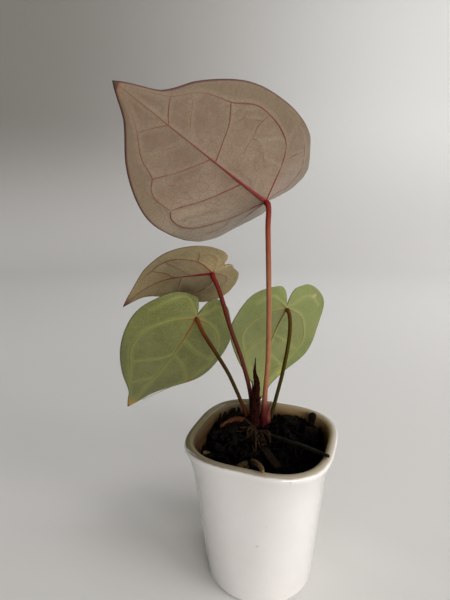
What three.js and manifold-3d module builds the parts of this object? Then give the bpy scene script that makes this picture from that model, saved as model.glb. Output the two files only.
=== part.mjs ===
// A young velvet-leaved anthurium in a small rounded-square pot.
// Millimetres, +Z up. The origin is the centre of the pot's foot, and the pot's flat sides face X and Y.
import * as THREE from 'three';
import { mergeVertices } from 'three/addons/utils/BufferGeometryUtils.js';
import Module from 'manifold-3d';

const wasm = await Module();
wasm.setup();

// Driving dimensions of the pot.
const CLEARANCE = 0.32;
const POT = {
  height: 75,
  rimHalf: 35,
  rimExponent: 3,
  lipThickness: 4.4,
  lipDepth: 6,
  neckHalf: 32.3,
  flareHalf: 34,
  footHalf: 26.5,
  footExponent: 2,
  footRadius: 2,
  wall: 2.8,
  floor: 3,
  sectors: 48,
  drains: 4,
  drainRadius: 2.6,
  drainOffset: 13,
  drainSides: 10,
  mouthLift: 6,
};
const FOOT_ANGLES = [0, 30, 60, 90];
const LIP_ANGLES = [0, 35, 65, 90, 125, 160];
const WALL_LEVELS = [0.25, 0.5, 0.75];

// Driving dimensions of the potting mix.
const SOIL = {
  level: 61,
  backRise: 0.1,
  heapHeight: 5.5,
  heapReach: 9,
  moundHeight: 2.5,
  moundReach: 11,
  roughness: 0.9,
  rings: 6,
  overlap: 1.3,
  foot: -1,
  seed: 11,
};
const SOIL_HEAPS = [[-23, 12], [12, 24]];

// Chips and slivers of bark on the mix: how many, how far out, how big, and how they tilt.
// A pair of numbers is the least value and the most that a draw adds to it.
const CHIPS = {
  count: 40,
  reach: 0.85,
  length: [4, 6],
  width: [3, 3],
  depth: [1.6, 1.4],
  tilt: 1.3,
  lift: 0.4,
};
const SLIVERS = {
  count: 9,
  ring: 20,
  spread: 6,
  size: [11, 1.3, 1.1],
  roll: [0, 0.4],
  tilt: [-0.2, -0.9],
  lift: 0.8,
};
const ANY_TURN = 6.28;

// The crown from which every leaf rises.
const CROWN = {
  x: -9,
  y: 21.5,
  foot: 46,
  top: 68.5,
  radius: 7.4,
  squeeze: 0.85,
  widest: 0.66,
  spread: 0.78,
  topShare: 0.8,
  footCap: 1,
  topCap: 0.6,
  sides: 12,
};
const CROWN_LEVELS = [0, 0.25, 0.5, 0.72, 0.88, 1];

// Driving dimensions of the blades.
const BLADE = { thickness: 0.7, halfSectors: 18, rimWave: 0.7, mostStretch: 1.6, slopeStep: 0.01 };
const VEIN = { radius: 0.45, perLength: 1 / 300, collective: 0.7, other: 0.6, thinning: 0.45, sides: 3 };
const OUTLINE_ANGLES = [0, 7, 18, 35, 60, 90, 120, 145, 163, 180];
const RING_SHARES = [0.18, 0.4, 0.62, 0.83, 1];

// Each blade: where its stalk meets it, the way its upper side faces, the way its midrib sets out,
// how it is bent, and its outline as radii from the stalk, shares of its length, at OUTLINE_ANGLES.
const LEAVES = [
  {
    name: 'leaf_1',
    length: 90.3,
    attachment: [-10, 31.1, 184.1],
    elevation: 33.4,
    azimuth: 133.1,
    heading: [-0.42, -0.79, 0.44],
    arch: -0.18,
    cup: 0.2,
    twist: -0.36,
    tipCurl: 0.09,
    lobeLift: 0.84,
    left: [1, 0.81, 0.73, 0.63, 0.5, 0.41, 0.37, 0.38, 0.36, 0.03],
    right: [1, 0.88, 0.81, 0.7, 0.55, 0.46, 0.4, 0.37, 0.34, 0.03],
    waves: 3,
    colour: 'bronze',
  },
  {
    name: 'leaf_2',
    length: 52.7,
    attachment: [-33.8, 20.2, 148],
    elevation: 49.3,
    azimuth: 104.8,
    heading: [-0.98, -0.01, -0.21],
    arch: -0.37,
    cup: 0.52,
    twist: -0.23,
    tipCurl: 0.63,
    lobeLift: 0.55,
    left: [1, 0.84, 0.71, 0.59, 0.51, 0.43, 0.32, 0.23, 0.18, 0.09],
    right: [1, 0.82, 0.71, 0.6, 0.52, 0.44, 0.32, 0.21, 0.18, 0.1],
    waves: 2,
    colour: 'bronze',
  },
  {
    name: 'leaf_3',
    length: 72.6,
    attachment: [-41.9, 16.1, 123.9],
    elevation: 16.2,
    azimuth: 139.8,
    heading: [-0.44, -0.13, -0.89],
    arch: -0.4,
    cup: -0.05,
    twist: -0.2,
    tipCurl: 0.15,
    lobeLift: 0.14,
    left: [1, 0.82, 0.71, 0.6, 0.51, 0.4, 0.27, 0.19, 0.14, 0.02],
    right: [1, 0.8, 0.7, 0.62, 0.51, 0.37, 0.28, 0.21, 0.14, 0.02],
    waves: 4,
    colour: 'olive',
  },
  {
    name: 'leaf_4',
    length: 65.7,
    attachment: [-1.8, 53.6, 124.1],
    elevation: 35.4,
    azimuth: 130.9,
    heading: [-0.43, 0.39, -0.81],
    arch: 0.09,
    cup: 0.28,
    twist: -0.31,
    tipCurl: 0.23,
    lobeLift: 0.46,
    left: [1, 0.87, 0.75, 0.62, 0.51, 0.41, 0.31, 0.24, 0.17, 0.01],
    right: [1, 0.86, 0.75, 0.65, 0.5, 0.42, 0.31, 0.22, 0.18, 0.01],
    waves: 3,
    colour: 'olive',
  },
];

// Leaf stalks: points from the crown up to just below the blade, and the radii at foot, middle and top.
const STALKS = [
  {
    leaf: 'leaf_1',
    points: [
      [-4.4, 18.2, 63],
      [-4.4, 18.6, 71],
      [-4.5, 20, 82],
      [-4.1, 23.1, 105],
      [-5.3, 26.3, 134.5],
      [-7.5, 29, 171],
    ],
    radii: [2.2, 1.3, 1.35],
    flare: 0.2,
    colour: 'salmon',
  },
  {
    leaf: 'leaf_2',
    points: [
      [-11.8, 22.6, 63],
      [-12.1, 22.8, 72],
      [-13.7, 23.1, 84.7],
      [-18.3, 22.7, 101.4],
      [-24.2, 21.7, 118],
      [-31, 20.5, 140],
    ],
    radii: [1.5, 1.15, 1.2],
    flare: 0.2,
    colour: 'darkRed',
  },
  {
    leaf: 'leaf_3',
    points: [
      [-13.6, 19.4, 63],
      [-14.2, 19.6, 71.5],
      [-17.9, 20, 79.6],
      [-24.2, 19.2, 93.4],
      [-30.8, 17.9, 104.6],
      [-37.8, 15.9, 116.5],
    ],
    radii: [1.4, 1, 1.05],
    flare: 0.3,
    colour: 'oliveStalk',
  },
  {
    leaf: 'leaf_4',
    points: [
      [-2.8, 24.2, 63],
      [-1.9, 25.4, 70.5],
      [-0.8, 29.3, 78.3],
      [1.1, 38, 93],
      [1.9, 48, 112],
    ],
    radii: [1.4, 1, 1.1],
    flare: 0.2,
    colour: 'oliveStalk',
  },
];
const STALK = { sides: 8, steps: 14, neckLength: 3.6, topShare: 0.85, contactGap: 0.15, ridgeStart: 2.6 };

// Dry sheath leaves round the feet of the stalks, with their half width at shares of their length.
const HUSK = {
  knots: [0, 0.35, 0.75, 1],
  foot: 0.92,
  upper: 0.6,
  tip: 0.4,
  tube: { sides: 8, steps: 7, flatten: 0.5 },
};
const HUSKS = [
  {
    name: 'husk_spike',
    points: [[-8.5, 15.6, 63], [-8.5, 16.3, 71.5], [-9.1, 18.8, 82.5], [-10, 21.6, 96], [-11.5, 25.1, 102.8]],
    width: 4.8,
    colour: 'husk',
  },
  {
    name: 'husk_ochre',
    points: [[-10.1, 19.4, 64], [-10.3, 20, 71.5], [-11, 20.9, 79.6], [-12.6, 23.2, 90.8]],
    width: 2.2,
    colour: 'husk',
  },
  {
    name: 'bract',
    points: [[-2.5, 20.9, 64], [-2.4, 21.7, 74], [-2.1, 24.2, 80]],
    width: 2.2,
    colour: 'salmon',
  },
];

// Roots, twigs and sticks: points along the middle, and the radii at both ends and halfway.
const RODS = [
  {
    name: 'aerial_root',
    points: [[-12, 16.4, 66], [-14.2, 15.8, 70.6], [-19.5, 12.6, 71.3], [-25, 7.4, 69]],
    radii: [1.3, 1.3, 0.9],
    colour: 'rust',
  },
  {
    name: 'twig',
    points: [[-0.8, 12.8, 66.6], [10, 5.4, 69.5], [21.2, -2.6, 72.6], [33.4, -13, 76.4]],
    radii: [0.8, 0.95, 0.75],
    colour: 'greyTwig',
  },
  {
    name: 'stick',
    points: [[-2.1, -11, 65], [3.6, -23, 72.2], [8, -32, 76.7], [9.6, -35.2, 77.3]],
    radii: [1.1, 1.3, 0.9],
    colour: 'tan',
  },
  {
    name: 'bark_knob',
    points: [[19.6, 23, 62], [20, 23.6, 70], [20.4, 24.4, 77]],
    radii: [1.8, 1.5, 2.1],
    colour: 'bark',
  },
];
const ROD = { sides: 7, steps: 7 };
const ROOT_KNOT = [-6.2, 13.4, 64.4];
const ROOT_STUBS = [[-9.6, 7, 62.6], [-4.8, 5.2, 62.2], [-0.6, 6.6, 62]];
const ROOT_STUB = { rise: 1.4, radius: 1.9, thinning: 0.9, tube: { sides: 7, steps: 4 } };

// Loose pieces of bark and grit that show singly: middle, size and turns about X, Y and Z.
const LOOSE_PIECES = [
  {
    name: 'bark_lump',
    centre: [8.4, 23.4, 68.4],
    size: [10, 8, 9],
    turn: [0.3, 0.2, 0.4],
    seed: 4,
    colour: 'bark',
  },
  {
    name: 'bark_plate',
    centre: [20.4, 16.6, 66],
    size: [9.5, 3.6, 14],
    turn: [-0.25, 0.1, 0.2],
    seed: 7,
    colour: 'bark',
  },
  {
    name: 'bark_strip',
    centre: [5.4, -5, 64.4],
    size: [21, 5.6, 3.2],
    turn: [0.15, 0, -0.91],
    seed: 9,
    colour: 'bark',
  },
  {
    name: 'tan_chip',
    centre: [-4.6, -17, 65.4],
    size: [6.4, 4, 3.4],
    turn: [0.2, -0.3, 0.5],
    seed: 12,
    colour: 'tan',
  },
  {
    name: 'pebble',
    centre: [-25.8, -9.5, 62.4],
    size: [4, 3.2, 3],
    turn: [0, 0.2, 0.3],
    seed: 15,
    colour: 'tan',
  },
];

const COLOURS = {
  pot: 0xdcd9d2,
  pottingMix: 0x14100c,
  crown: 0x5b3a26,
  bronze: 0x7a6a58,
  olive: 0x74794b,
  salmon: 0x8c5a44,
  darkRed: 0x562b1f,
  oliveStalk: 0x5a5738,
  husk: 0x2b1512,
  rust: 0x7a4418,
  tan: 0x8a6a42,
  bark: 0x2a1c14,
  greyTwig: 0x3a3a2c,
};

// A seeded generator of numbers from 0 to 1.
function seededRandom(seed) {
  let state = seed;
  return () => {
    state = (state + 0x6d2b79f5) | 0;
    let mixed = Math.imul(state ^ (state >>> 15), 1 | state);
    mixed = (mixed + Math.imul(mixed ^ (mixed >>> 7), 61 | mixed)) ^ mixed;
    return ((mixed ^ (mixed >>> 14)) >>> 0) / 4294967296;
  };
}

// A smooth curve through known values that never overshoots between two of them.
function monotoneCurve(knots, values) {
  const last = knots.length - 1;
  const spans = knots.slice(1).map((knot, i) => knot - knots[i]);
  const rises = spans.map((span, i) => (values[i + 1] - values[i]) / span);
  const slopes = knots.map((knot, i) => {
    if (i === 0 || i === last) {
      return rises[Math.min(i, last - 1)];
    }
    if (rises[i - 1] * rises[i] <= 0) {
      return 0;
    }
    const before = 2 * spans[i] + spans[i - 1];
    const after = spans[i] + 2 * spans[i - 1];
    return (before + after) / (before / rises[i - 1] + after / rises[i]);
  });
  return (x) => {
    let i = 0;
    while (i < last - 1 && x > knots[i + 1]) {
      i += 1;
    }
    const t = (x - knots[i]) / spans[i];
    const start = values[i] * (1 + 2 * t) * (1 - t) ** 2 + slopes[i] * spans[i] * t * (1 - t) ** 2;
    const end = values[i + 1] * t * t * (3 - 2 * t) + slopes[i + 1] * spans[i] * t * t * (t - 1);
    return start + end;
  };
}

// A closed surface through rings of equal count, each end closed by a fan to its own point.
function loft(rings, startPoint, endPoint) {
  const count = rings[0].length;
  const points = [...rings.flat(), startPoint, endPoint];
  const startIndex = points.length - 2;
  const endIndex = points.length - 1;
  const index = [];
  for (let j = 0; j < count; j += 1) {
    const next = (j + 1) % count;
    index.push(startIndex, next, j);
    for (let i = 0; i < rings.length - 1; i += 1) {
      const low = i * count;
      const high = low + count;
      index.push(low + j, low + next, high + next, low + j, high + next, high + j);
    }
    const top = (rings.length - 1) * count;
    index.push(endIndex, top + j, top + next);
  }
  return geometryFrom(points, index);
}

function geometryFrom(points, index) {
  const geometry = new THREE.BufferGeometry();
  geometry.setAttribute('position', new THREE.Float32BufferAttribute(points.flatMap((p) => p.toArray()), 3));
  geometry.setIndex(index);
  return geometry;
}

// The volume that a closed geometry's faces enclose, negative when they point inwards.
function signedVolume(geometry) {
  const position = geometry.getAttribute('position');
  const index = geometry.getIndex();
  const corners = [new THREE.Vector3(), new THREE.Vector3(), new THREE.Vector3()];
  let volume = 0;
  for (let i = 0; i < index.count; i += 3) {
    corners.forEach((corner, k) => corner.fromBufferAttribute(position, index.getX(i + k)));
    volume += corners[0].dot(corners[1].clone().cross(corners[2])) / 6;
  }
  return volume;
}

// A manifold solid from a closed geometry, with its faces turned outwards.
function solidFrom(geometry) {
  geometry.deleteAttribute('normal');
  geometry.deleteAttribute('uv');
  const merged = mergeVertices(geometry, 1e-5);
  const triVerts = new Uint32Array(merged.getIndex().array);
  if (signedVolume(merged) < 0) {
    for (let i = 0; i < triVerts.length; i += 3) {
      [triVerts[i], triVerts[i + 1]] = [triVerts[i + 1], triVerts[i]];
    }
  }
  const vertProperties = new Float32Array(merged.getAttribute('position').array);
  return new wasm.Manifold(new wasm.Mesh({ numProp: 3, vertProperties, triVerts }));
}

// The largest connected body of a solid, without loose scraps.
function largestBody(solid) {
  const bodies = solid.decompose();
  return bodies.reduce((best, body) => (body.volume() > best.volume() ? body : best));
}

function meshFrom(name, solid, colour, roughness) {
  const mesh = solid.getMesh();
  const geometry = new THREE.BufferGeometry();
  geometry.setAttribute('position', new THREE.BufferAttribute(new Float32Array(mesh.vertProperties), 3));
  geometry.setIndex(new THREE.BufferAttribute(new Uint32Array(mesh.triVerts), 1));
  geometry.computeVertexNormals();
  const material = new THREE.MeshStandardMaterial({ color: colour, roughness, metalness: 0 });
  const result = new THREE.Mesh(geometry, material);
  result.name = name;
  return result;
}

// One ring of a tube: a flattened circle square to the path.
function crossRing(centre, normal, binormal, width, depth, sides, turn = 0) {
  return Array.from({ length: sides }, (_, k) => {
    const angle = (2 * Math.PI * k) / sides + turn;
    return centre.clone()
      .addScaledVector(normal, width * Math.cos(angle))
      .addScaledVector(binormal, depth * Math.sin(angle));
  });
}

// A tube along points whose radius follows a function of the share of its length.
function taperedTube(points, radiusAt, { sides = 8, steps = 12, grow = 0, flatten = 1 } = {}) {
  const curve = new THREE.CatmullRomCurve3(points.map((p) => new THREE.Vector3(...p)), false, 'centripetal');
  const frames = curve.computeFrenetFrames(steps, false);
  const centres = curve.getSpacedPoints(steps);
  centres[0].addScaledVector(frames.tangents[0], -grow);
  centres[steps].addScaledVector(frames.tangents[steps], grow);
  const rings = centres.map((centre, i) => {
    const radius = radiusAt(i / steps);
    const depth = radius * flatten + grow;
    const turn = Math.PI / sides;
    return crossRing(centre, frames.normals[i], frames.binormals[i], radius + grow, depth, sides, turn);
  });
  return solidFrom(loft(rings, centres[0], centres[steps]));
}

// Points of a rounded square: half its width, and how square it is.
function roundedSquare(half, exponent, z) {
  return Array.from({ length: POT.sectors }, (_, k) => {
    const angle = (2 * Math.PI * k) / POT.sectors;
    const spread = Math.abs(Math.cos(angle)) ** exponent + Math.abs(Math.sin(angle)) ** exponent;
    const radius = half / spread ** (1 / exponent);
    return new THREE.Vector3(radius * Math.cos(angle), radius * Math.sin(angle), z);
  });
}

// How square the pot is at a height, and how wide its straight side is there.
function potExponent(z) {
  return THREE.MathUtils.mapLinear(Math.max(z, 0), 0, POT.height, POT.footExponent, POT.rimExponent);
}

function potOuterHalf(z) {
  return THREE.MathUtils.mapLinear(z, POT.footRadius, POT.height - POT.lipDepth, POT.footHalf, POT.neckHalf);
}

function potInnerHalf(z) {
  const atLip = POT.rimHalf - POT.lipThickness;
  const atFloor = potOuterHalf(POT.footRadius) - POT.wall;
  return THREE.MathUtils.mapLinear(z, POT.floor, POT.height - POT.lipDepth, atFloor, atLip);
}

// Heights at which both the wall's inside and what fills it have a ring.
function innerLevels() {
  const top = POT.height - POT.lipDepth;
  return [POT.floor, ...WALL_LEVELS.map((share) => POT.floor + share * (top - POT.floor)), top];
}

function makePot() {
  const rings = [];
  const ring = (half, z) => rings.push(roundedSquare(half, potExponent(z), z));
  const footFlat = POT.footHalf - POT.footRadius;
  ring(footFlat * 0.5, 0);
  for (const angle of FOOT_ANGLES) {
    const turn = THREE.MathUtils.degToRad(angle);
    ring(footFlat + POT.footRadius * Math.sin(turn), POT.footRadius * (1 - Math.cos(turn)));
  }
  const neck = POT.height - POT.lipDepth;
  for (const share of [...WALL_LEVELS, 1]) {
    const z = POT.footRadius + share * (neck - POT.footRadius);
    ring(potOuterHalf(z), z);
  }
  const lipRadius = POT.lipThickness / 2;
  ring(POT.flareHalf, (neck + POT.height - lipRadius) / 2);
  for (const angle of LIP_ANGLES) {
    const turn = THREE.MathUtils.degToRad(angle);
    const half = POT.rimHalf - lipRadius + lipRadius * Math.cos(turn);
    ring(half, POT.height - lipRadius + lipRadius * Math.sin(turn));
  }
  for (const z of innerLevels().reverse()) {
    ring(potInnerHalf(z), z);
  }
  ring(potInnerHalf(POT.floor) * 0.5, POT.floor);
  let pot = solidFrom(loft(rings, new THREE.Vector3(0, 0, 0), new THREE.Vector3(0, 0, POT.floor)));
  for (let k = 0; k < POT.drains; k += 1) {
    const angle = (2 * Math.PI * (k + 0.5)) / POT.drains;
    const drain = new THREE.CylinderGeometry(POT.drainRadius, POT.drainRadius, POT.floor * 4, POT.drainSides);
    drain.rotateX(Math.PI / 2);
    drain.translate(POT.drainOffset * Math.cos(angle), POT.drainOffset * Math.sin(angle), 0);
    pot = pot.subtract(solidFrom(drain));
  }
  return pot;
}

// The space inside the pot, drawn in by the clearance and open upwards past the rim.
function potCavity() {
  const rings = innerLevels().map((z, i) => {
    const lift = i === 0 ? CLEARANCE : 0;
    return roundedSquare(potInnerHalf(z) - CLEARANCE, potExponent(z), z + lift);
  });
  const lipHalf = POT.rimHalf - POT.lipThickness - CLEARANCE;
  rings.push(roundedSquare(lipHalf, potExponent(POT.height), POT.height + POT.mouthLift));
  const top = new THREE.Vector3(0, 0, POT.height + POT.mouthLift);
  return solidFrom(loft(rings, new THREE.Vector3(0, 0, POT.floor + CLEARANCE), top));
}

function heap(x, y, centreX, centreY, reach) {
  return Math.exp(-((x - centreX) ** 2 + (y - centreY) ** 2) / (2 * reach ** 2));
}

// Height of the potting mix: higher at the back, heaped in two corners and round the crown, and rough.
function soilHeight(x, y) {
  const ripple = Math.sin(0.71 * x + 1.3) * Math.cos(0.63 * y) + 0.7 * Math.sin(1.37 * x - 0.9 * y + 0.4);
  let z = SOIL.level + SOIL.backRise * (y + 10) + SOIL.roughness * ripple;
  for (const [heapX, heapY] of SOIL_HEAPS) {
    z += SOIL.heapHeight * heap(x, y, heapX, heapY, SOIL.heapReach);
  }
  return z + SOIL.moundHeight * heap(x, y, CROWN.x, CROWN.y, SOIL.moundReach);
}

const CHIP_JITTER = [0.35, 0.35, 0.18];

// A chip of bark: a block with jittered corners, turned and tilted.
function barkChip(centre, size, turn, random, grow = 0) {
  const geometry = new THREE.BoxGeometry(...size);
  geometry.deleteAttribute('normal');
  geometry.deleteAttribute('uv');
  const chip = mergeVertices(geometry, 1e-5);
  const position = chip.getAttribute('position');
  const corner = new THREE.Vector3();
  for (let i = 0; i < position.count; i += 1) {
    corner.fromBufferAttribute(position, i);
    const moved = corner.toArray().map((value, k) => {
      const jitter = 1 - CHIP_JITTER[k] * random();
      return value * jitter + Math.sign(value) * grow;
    });
    position.setXYZ(i, ...moved);
  }
  const angles = new THREE.Euler(turn[0], turn[1], turn[2], 'ZYX');
  chip.applyMatrix4(new THREE.Matrix4().makeRotationFromEuler(angles));
  chip.translate(centre[0], centre[1], centre[2]);
  return solidFrom(chip);
}

function drawChip(random) {
  const drawn = ([least, more]) => least + more * random();
  const radius = POT.rimHalf * CHIPS.reach * Math.sqrt(random());
  const angle = 2 * Math.PI * random();
  const x = radius * Math.cos(angle);
  const y = radius * Math.sin(angle);
  const size = [CHIPS.length, CHIPS.width, CHIPS.depth].map(drawn);
  const turn = [CHIPS.tilt * (random() - 0.5), CHIPS.tilt * (random() - 0.5), ANY_TURN * random()];
  return barkChip([x, y, soilHeight(x, y) + CHIPS.lift], size, turn, random);
}

function drawSliver(random) {
  const drawn = ([least, more]) => least + more * random();
  const angle = 2 * Math.PI * random();
  const x = SLIVERS.ring * Math.cos(angle) + SLIVERS.spread * random();
  const y = SLIVERS.ring * Math.sin(angle) + SLIVERS.spread * random();
  const turn = [drawn(SLIVERS.roll), drawn(SLIVERS.tilt), ANY_TURN * random()];
  return barkChip([x, y, soilHeight(x, y) + SLIVERS.lift], SLIVERS.size, turn, random);
}

// The potting mix: one body that fills the pot, with chips and slivers fused to its top.
function makePottingMix() {
  const random = seededRandom(SOIL.seed);
  const reach = POT.rimHalf * SOIL.overlap;
  const rings = [];
  for (let i = 1; i <= SOIL.rings; i += 1) {
    const radius = (reach * i) / SOIL.rings;
    rings.push(Array.from({ length: POT.sectors / 2 }, (_, k) => {
      const angle = (4 * Math.PI * (k + 0.5 * (i % 2))) / POT.sectors;
      const x = radius * Math.cos(angle);
      const y = radius * Math.sin(angle);
      return new THREE.Vector3(x, y, soilHeight(x, y));
    }));
  }
  const base = rings[SOIL.rings - 1].map((p) => new THREE.Vector3(p.x, p.y, SOIL.foot));
  const centre = new THREE.Vector3(0, 0, soilHeight(0, 0));
  const mix = solidFrom(loft([...rings, base], centre, new THREE.Vector3(0, 0, SOIL.foot)));
  const chips = Array.from({ length: CHIPS.count }, () => drawChip(random));
  const slivers = Array.from({ length: SLIVERS.count }, () => drawSliver(random));
  return [...chips, ...slivers].reduce((sum, piece) => sum.add(piece), mix).intersect(potCavity());
}

// The crown: a short lumpy stump, its foot buried in the mix.
function makeCrown(grow) {
  const rings = [];
  for (const share of CROWN_LEVELS) {
    const z = THREE.MathUtils.lerp(CROWN.foot - grow, CROWN.top + grow, share);
    const narrowed = share === 1 ? CROWN.topShare : 1;
    const swell = Math.sqrt(1 - ((share - CROWN.widest) / CROWN.spread) ** 2) * narrowed;
    rings.push(Array.from({ length: CROWN.sides }, (_, k) => {
      const angle = (2 * Math.PI * k) / CROWN.sides;
      const lump = 1 + 0.09 * Math.sin(3 * angle + 5 * share) + 0.06 * Math.sin(5 * angle - 3 * share);
      const radius = CROWN.radius * swell * lump + grow;
      const x = CROWN.x + radius * Math.cos(angle);
      return new THREE.Vector3(x, CROWN.y + CROWN.squeeze * radius * Math.sin(angle), z);
    }));
  }
  const foot = new THREE.Vector3(CROWN.x, CROWN.y, CROWN.foot - CROWN.footCap - grow);
  const top = new THREE.Vector3(CROWN.x, CROWN.y, CROWN.top + CROWN.topCap + grow);
  return solidFrom(loft(rings, foot, top));
}

// The frame of a blade: its normal, the midrib's way and the way across.
function bladeFrame(leaf) {
  const elevation = THREE.MathUtils.degToRad(leaf.elevation);
  const azimuth = THREE.MathUtils.degToRad(leaf.azimuth);
  const flat = Math.cos(elevation);
  const normal = new THREE.Vector3(flat * Math.cos(azimuth), flat * Math.sin(azimuth), Math.sin(elevation));
  const along = new THREE.Vector3(...leaf.heading).projectOnPlane(normal).normalize();
  return { normal, along, across: normal.clone().cross(along) };
}

// Height of a blade above its plane at u along and v across, all in shares of its length.
function bladeRise(leaf, u, v) {
  const reach = Math.hypot(u, v);
  const ahead = Math.max(u, 0);
  const lift = reach > 0 ? (leaf.lobeLift * (reach - u)) / 2 : 0;
  return lift - leaf.arch * ahead ** 2 - leaf.cup * v * v - leaf.twist * u * v - leaf.tipCurl * ahead ** 3;
}

// A blade: its middle surface as a function of the angle round the stalk and the share of the radius.
function bladeSurface(leaf) {
  const frame = bladeFrame(leaf);
  const halves = {
    left: monotoneCurve(OUTLINE_ANGLES, leaf.left),
    right: monotoneCurve(OUTLINE_ANGLES, leaf.right),
  };
  const origin = new THREE.Vector3(...leaf.attachment);
  return (degrees, share) => {
    const outline = degrees >= 0 ? halves.left : halves.right;
    const radius = share * outline(Math.abs(degrees));
    const angle = THREE.MathUtils.degToRad(degrees);
    const u = radius * Math.cos(angle);
    const v = radius * Math.sin(angle);
    const wave = (BLADE.rimWave / leaf.length) * share ** 4 * Math.sin(leaf.waves * 2 * angle + leaf.length);
    const step = BLADE.slopeStep;
    const slopeU = (bladeRise(leaf, u + step, v) - bladeRise(leaf, u - step, v)) / (2 * step);
    const slopeV = (bladeRise(leaf, u, v + step) - bladeRise(leaf, u, v - step)) / (2 * step);
    const stretch = Math.min(BLADE.mostStretch, Math.hypot(1, slopeU, slopeV));
    const point = origin.clone()
      .addScaledVector(frame.along, leaf.length * u)
      .addScaledVector(frame.across, leaf.length * v)
      .addScaledVector(frame.normal, leaf.length * (bladeRise(leaf, u, v) + wave));
    return { point, half: frame.normal.clone().multiplyScalar((BLADE.thickness / 2) * stretch) };
  };
}

// Angles round the stalk, crowded at the tip and at the notch between the lobes.
function bladeAngles() {
  const half = BLADE.halfSectors;
  return Array.from({ length: 2 * half }, (_, k) => {
    const signed = k - half;
    return Math.sign(signed) * 90 * (1 - Math.cos((Math.PI * Math.abs(signed)) / half));
  });
}

// The main veins, raised on the underside: angle round the stalk and share of the radius there.
const COLLECTIVE_VEIN = [[80, 0.16], [76, 0.36], [66, 0.58], [54, 0.74], [40, 0.84], [25, 0.88], [12, 0.93]];
const OUTER_VEIN = [[150, 0.35], [135, 0.66], [112, 0.78], [90, 0.82]];
const SIDE_VEINS = [
  [[3, 0.2], [26, 0.45], [38, 0.76]],
  [[2, 0.42], [13, 0.6], [22, 0.82]],
];

function makeBlade(leaf) {
  const surface = bladeSurface(leaf);
  const angles = bladeAngles();
  const upper = [];
  const lower = [];
  for (const share of RING_SHARES) {
    const ring = angles.map((angle) => surface(angle, share));
    upper.push(ring.map(({ point, half }) => point.clone().add(half)));
    lower.push(ring.map(({ point, half }) => point.clone().sub(half)));
  }
  const middle = surface(0, 0);
  const top = middle.point.clone().add(middle.half);
  const bottom = middle.point.clone().sub(middle.half);
  let blade = solidFrom(loft([...lower, ...upper.reverse()], bottom, top));
  const ridge = (stations, radius) => {
    const path = stations.map(([angle, share]) => {
      const { point, half } = surface(angle, share);
      return point.clone().sub(half).toArray();
    });
    const thin = (t) => radius * (1 - VEIN.thinning * t);
    blade = blade.add(taperedTube(path, thin, { sides: VEIN.sides, steps: path.length + 2 }));
  };
  const start = STALK.ridgeStart / leaf.length;
  const size = VEIN.radius + leaf.length * VEIN.perLength;
  ridge([[0, start], [0, 0.25], [0, 0.5], [0, 0.75], [0, 0.93]], size);
  for (const side of [-1, 1]) {
    const mirrored = (stations) => stations.map(([angle, share]) => [side * angle, share]);
    ridge(mirrored(COLLECTIVE_VEIN), VEIN.collective * size);
    ridge(mirrored(OUTER_VEIN), VEIN.other * size);
    SIDE_VEINS.forEach((stations) => ridge(mirrored(stations), VEIN.other * size));
  }
  return blade;
}

// A leaf stalk: flared where it leaves the crown, and bent at the top to meet the blade squarely.
function makeStalk(stalk, grow = 0) {
  const leaf = LEAVES.find(({ name }) => name === stalk.leaf);
  const { normal } = bladeFrame(leaf);
  const origin = new THREE.Vector3(...leaf.attachment);
  const below = (distance) => origin.clone().addScaledVector(normal, -distance).toArray();
  const contact = BLADE.thickness / 2 + CLEARANCE + STALK.contactGap;
  const path = [...stalk.points, below(STALK.neckLength + contact), below(contact)];
  const [foot, middle, top] = stalk.radii;
  const radiusAt = monotoneCurve([0, stalk.flare, STALK.topShare, 1], [foot, middle, top, top]);
  return taperedTube(path, radiusAt, { sides: STALK.sides, steps: STALK.steps, grow });
}

// A dry sheath leaf: flattened, pointed, and widest a third of the way up.
function makeHusk(husk, grow = 0) {
  const half = husk.width / 2;
  const radiusAt = monotoneCurve(HUSK.knots, [half * HUSK.foot, half, half * HUSK.upper, HUSK.tip]);
  return taperedTube(husk.points, radiusAt, { ...HUSK.tube, grow });
}

function makeRod(rod, grow = 0) {
  const radiusAt = monotoneCurve([0, 0.5, 1], rod.radii);
  return taperedTube(rod.points, radiusAt, { sides: ROD.sides, steps: ROD.steps, grow });
}

// The stubs of old roots: three short tapered arms from one knot in front of the crown.
function makeRootStubs(grow = 0) {
  const arms = ROOT_STUBS.map((end) => {
    const bend = ROOT_KNOT.map((value, k) => (value + end[k]) / 2 + (k === 2 ? ROOT_STUB.rise : 0));
    const radiusAt = (t) => ROOT_STUB.radius - ROOT_STUB.thinning * t;
    return taperedTube([ROOT_KNOT, bend, end], radiusAt, { ...ROOT_STUB.tube, grow });
  });
  return arms.reduce((sum, arm) => sum.add(arm));
}

function makeLoosePiece(piece, grow = 0) {
  return barkChip(piece.centre, piece.size, piece.turn, seededRandom(piece.seed), grow);
}

// Every piece that stands or lies in the mix, with the solid of the pocket that it needs there.
function makeInserts() {
  const insert = (make, item, name = item.name) => ({
    name,
    colour: item.colour,
    solid: make(item, 0),
    pocket: make(item, CLEARANCE),
  });
  return {
    stalks: STALKS.map((stalk) => insert(makeStalk, stalk, `${stalk.leaf}_stalk`)),
    husks: HUSKS.map((husk) => insert(makeHusk, husk)),
    rods: RODS.map((rod) => insert(makeRod, rod)),
    stubs: [insert((_, grow) => makeRootStubs(grow), { name: 'root_stubs', colour: 'tan' })],
    loose: LOOSE_PIECES.map((piece) => insert(makeLoosePiece, piece)),
  };
}

function cut(solid, pieces) {
  return largestBody(pieces.reduce((rest, { pocket }) => rest.subtract(pocket), solid));
}

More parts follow.
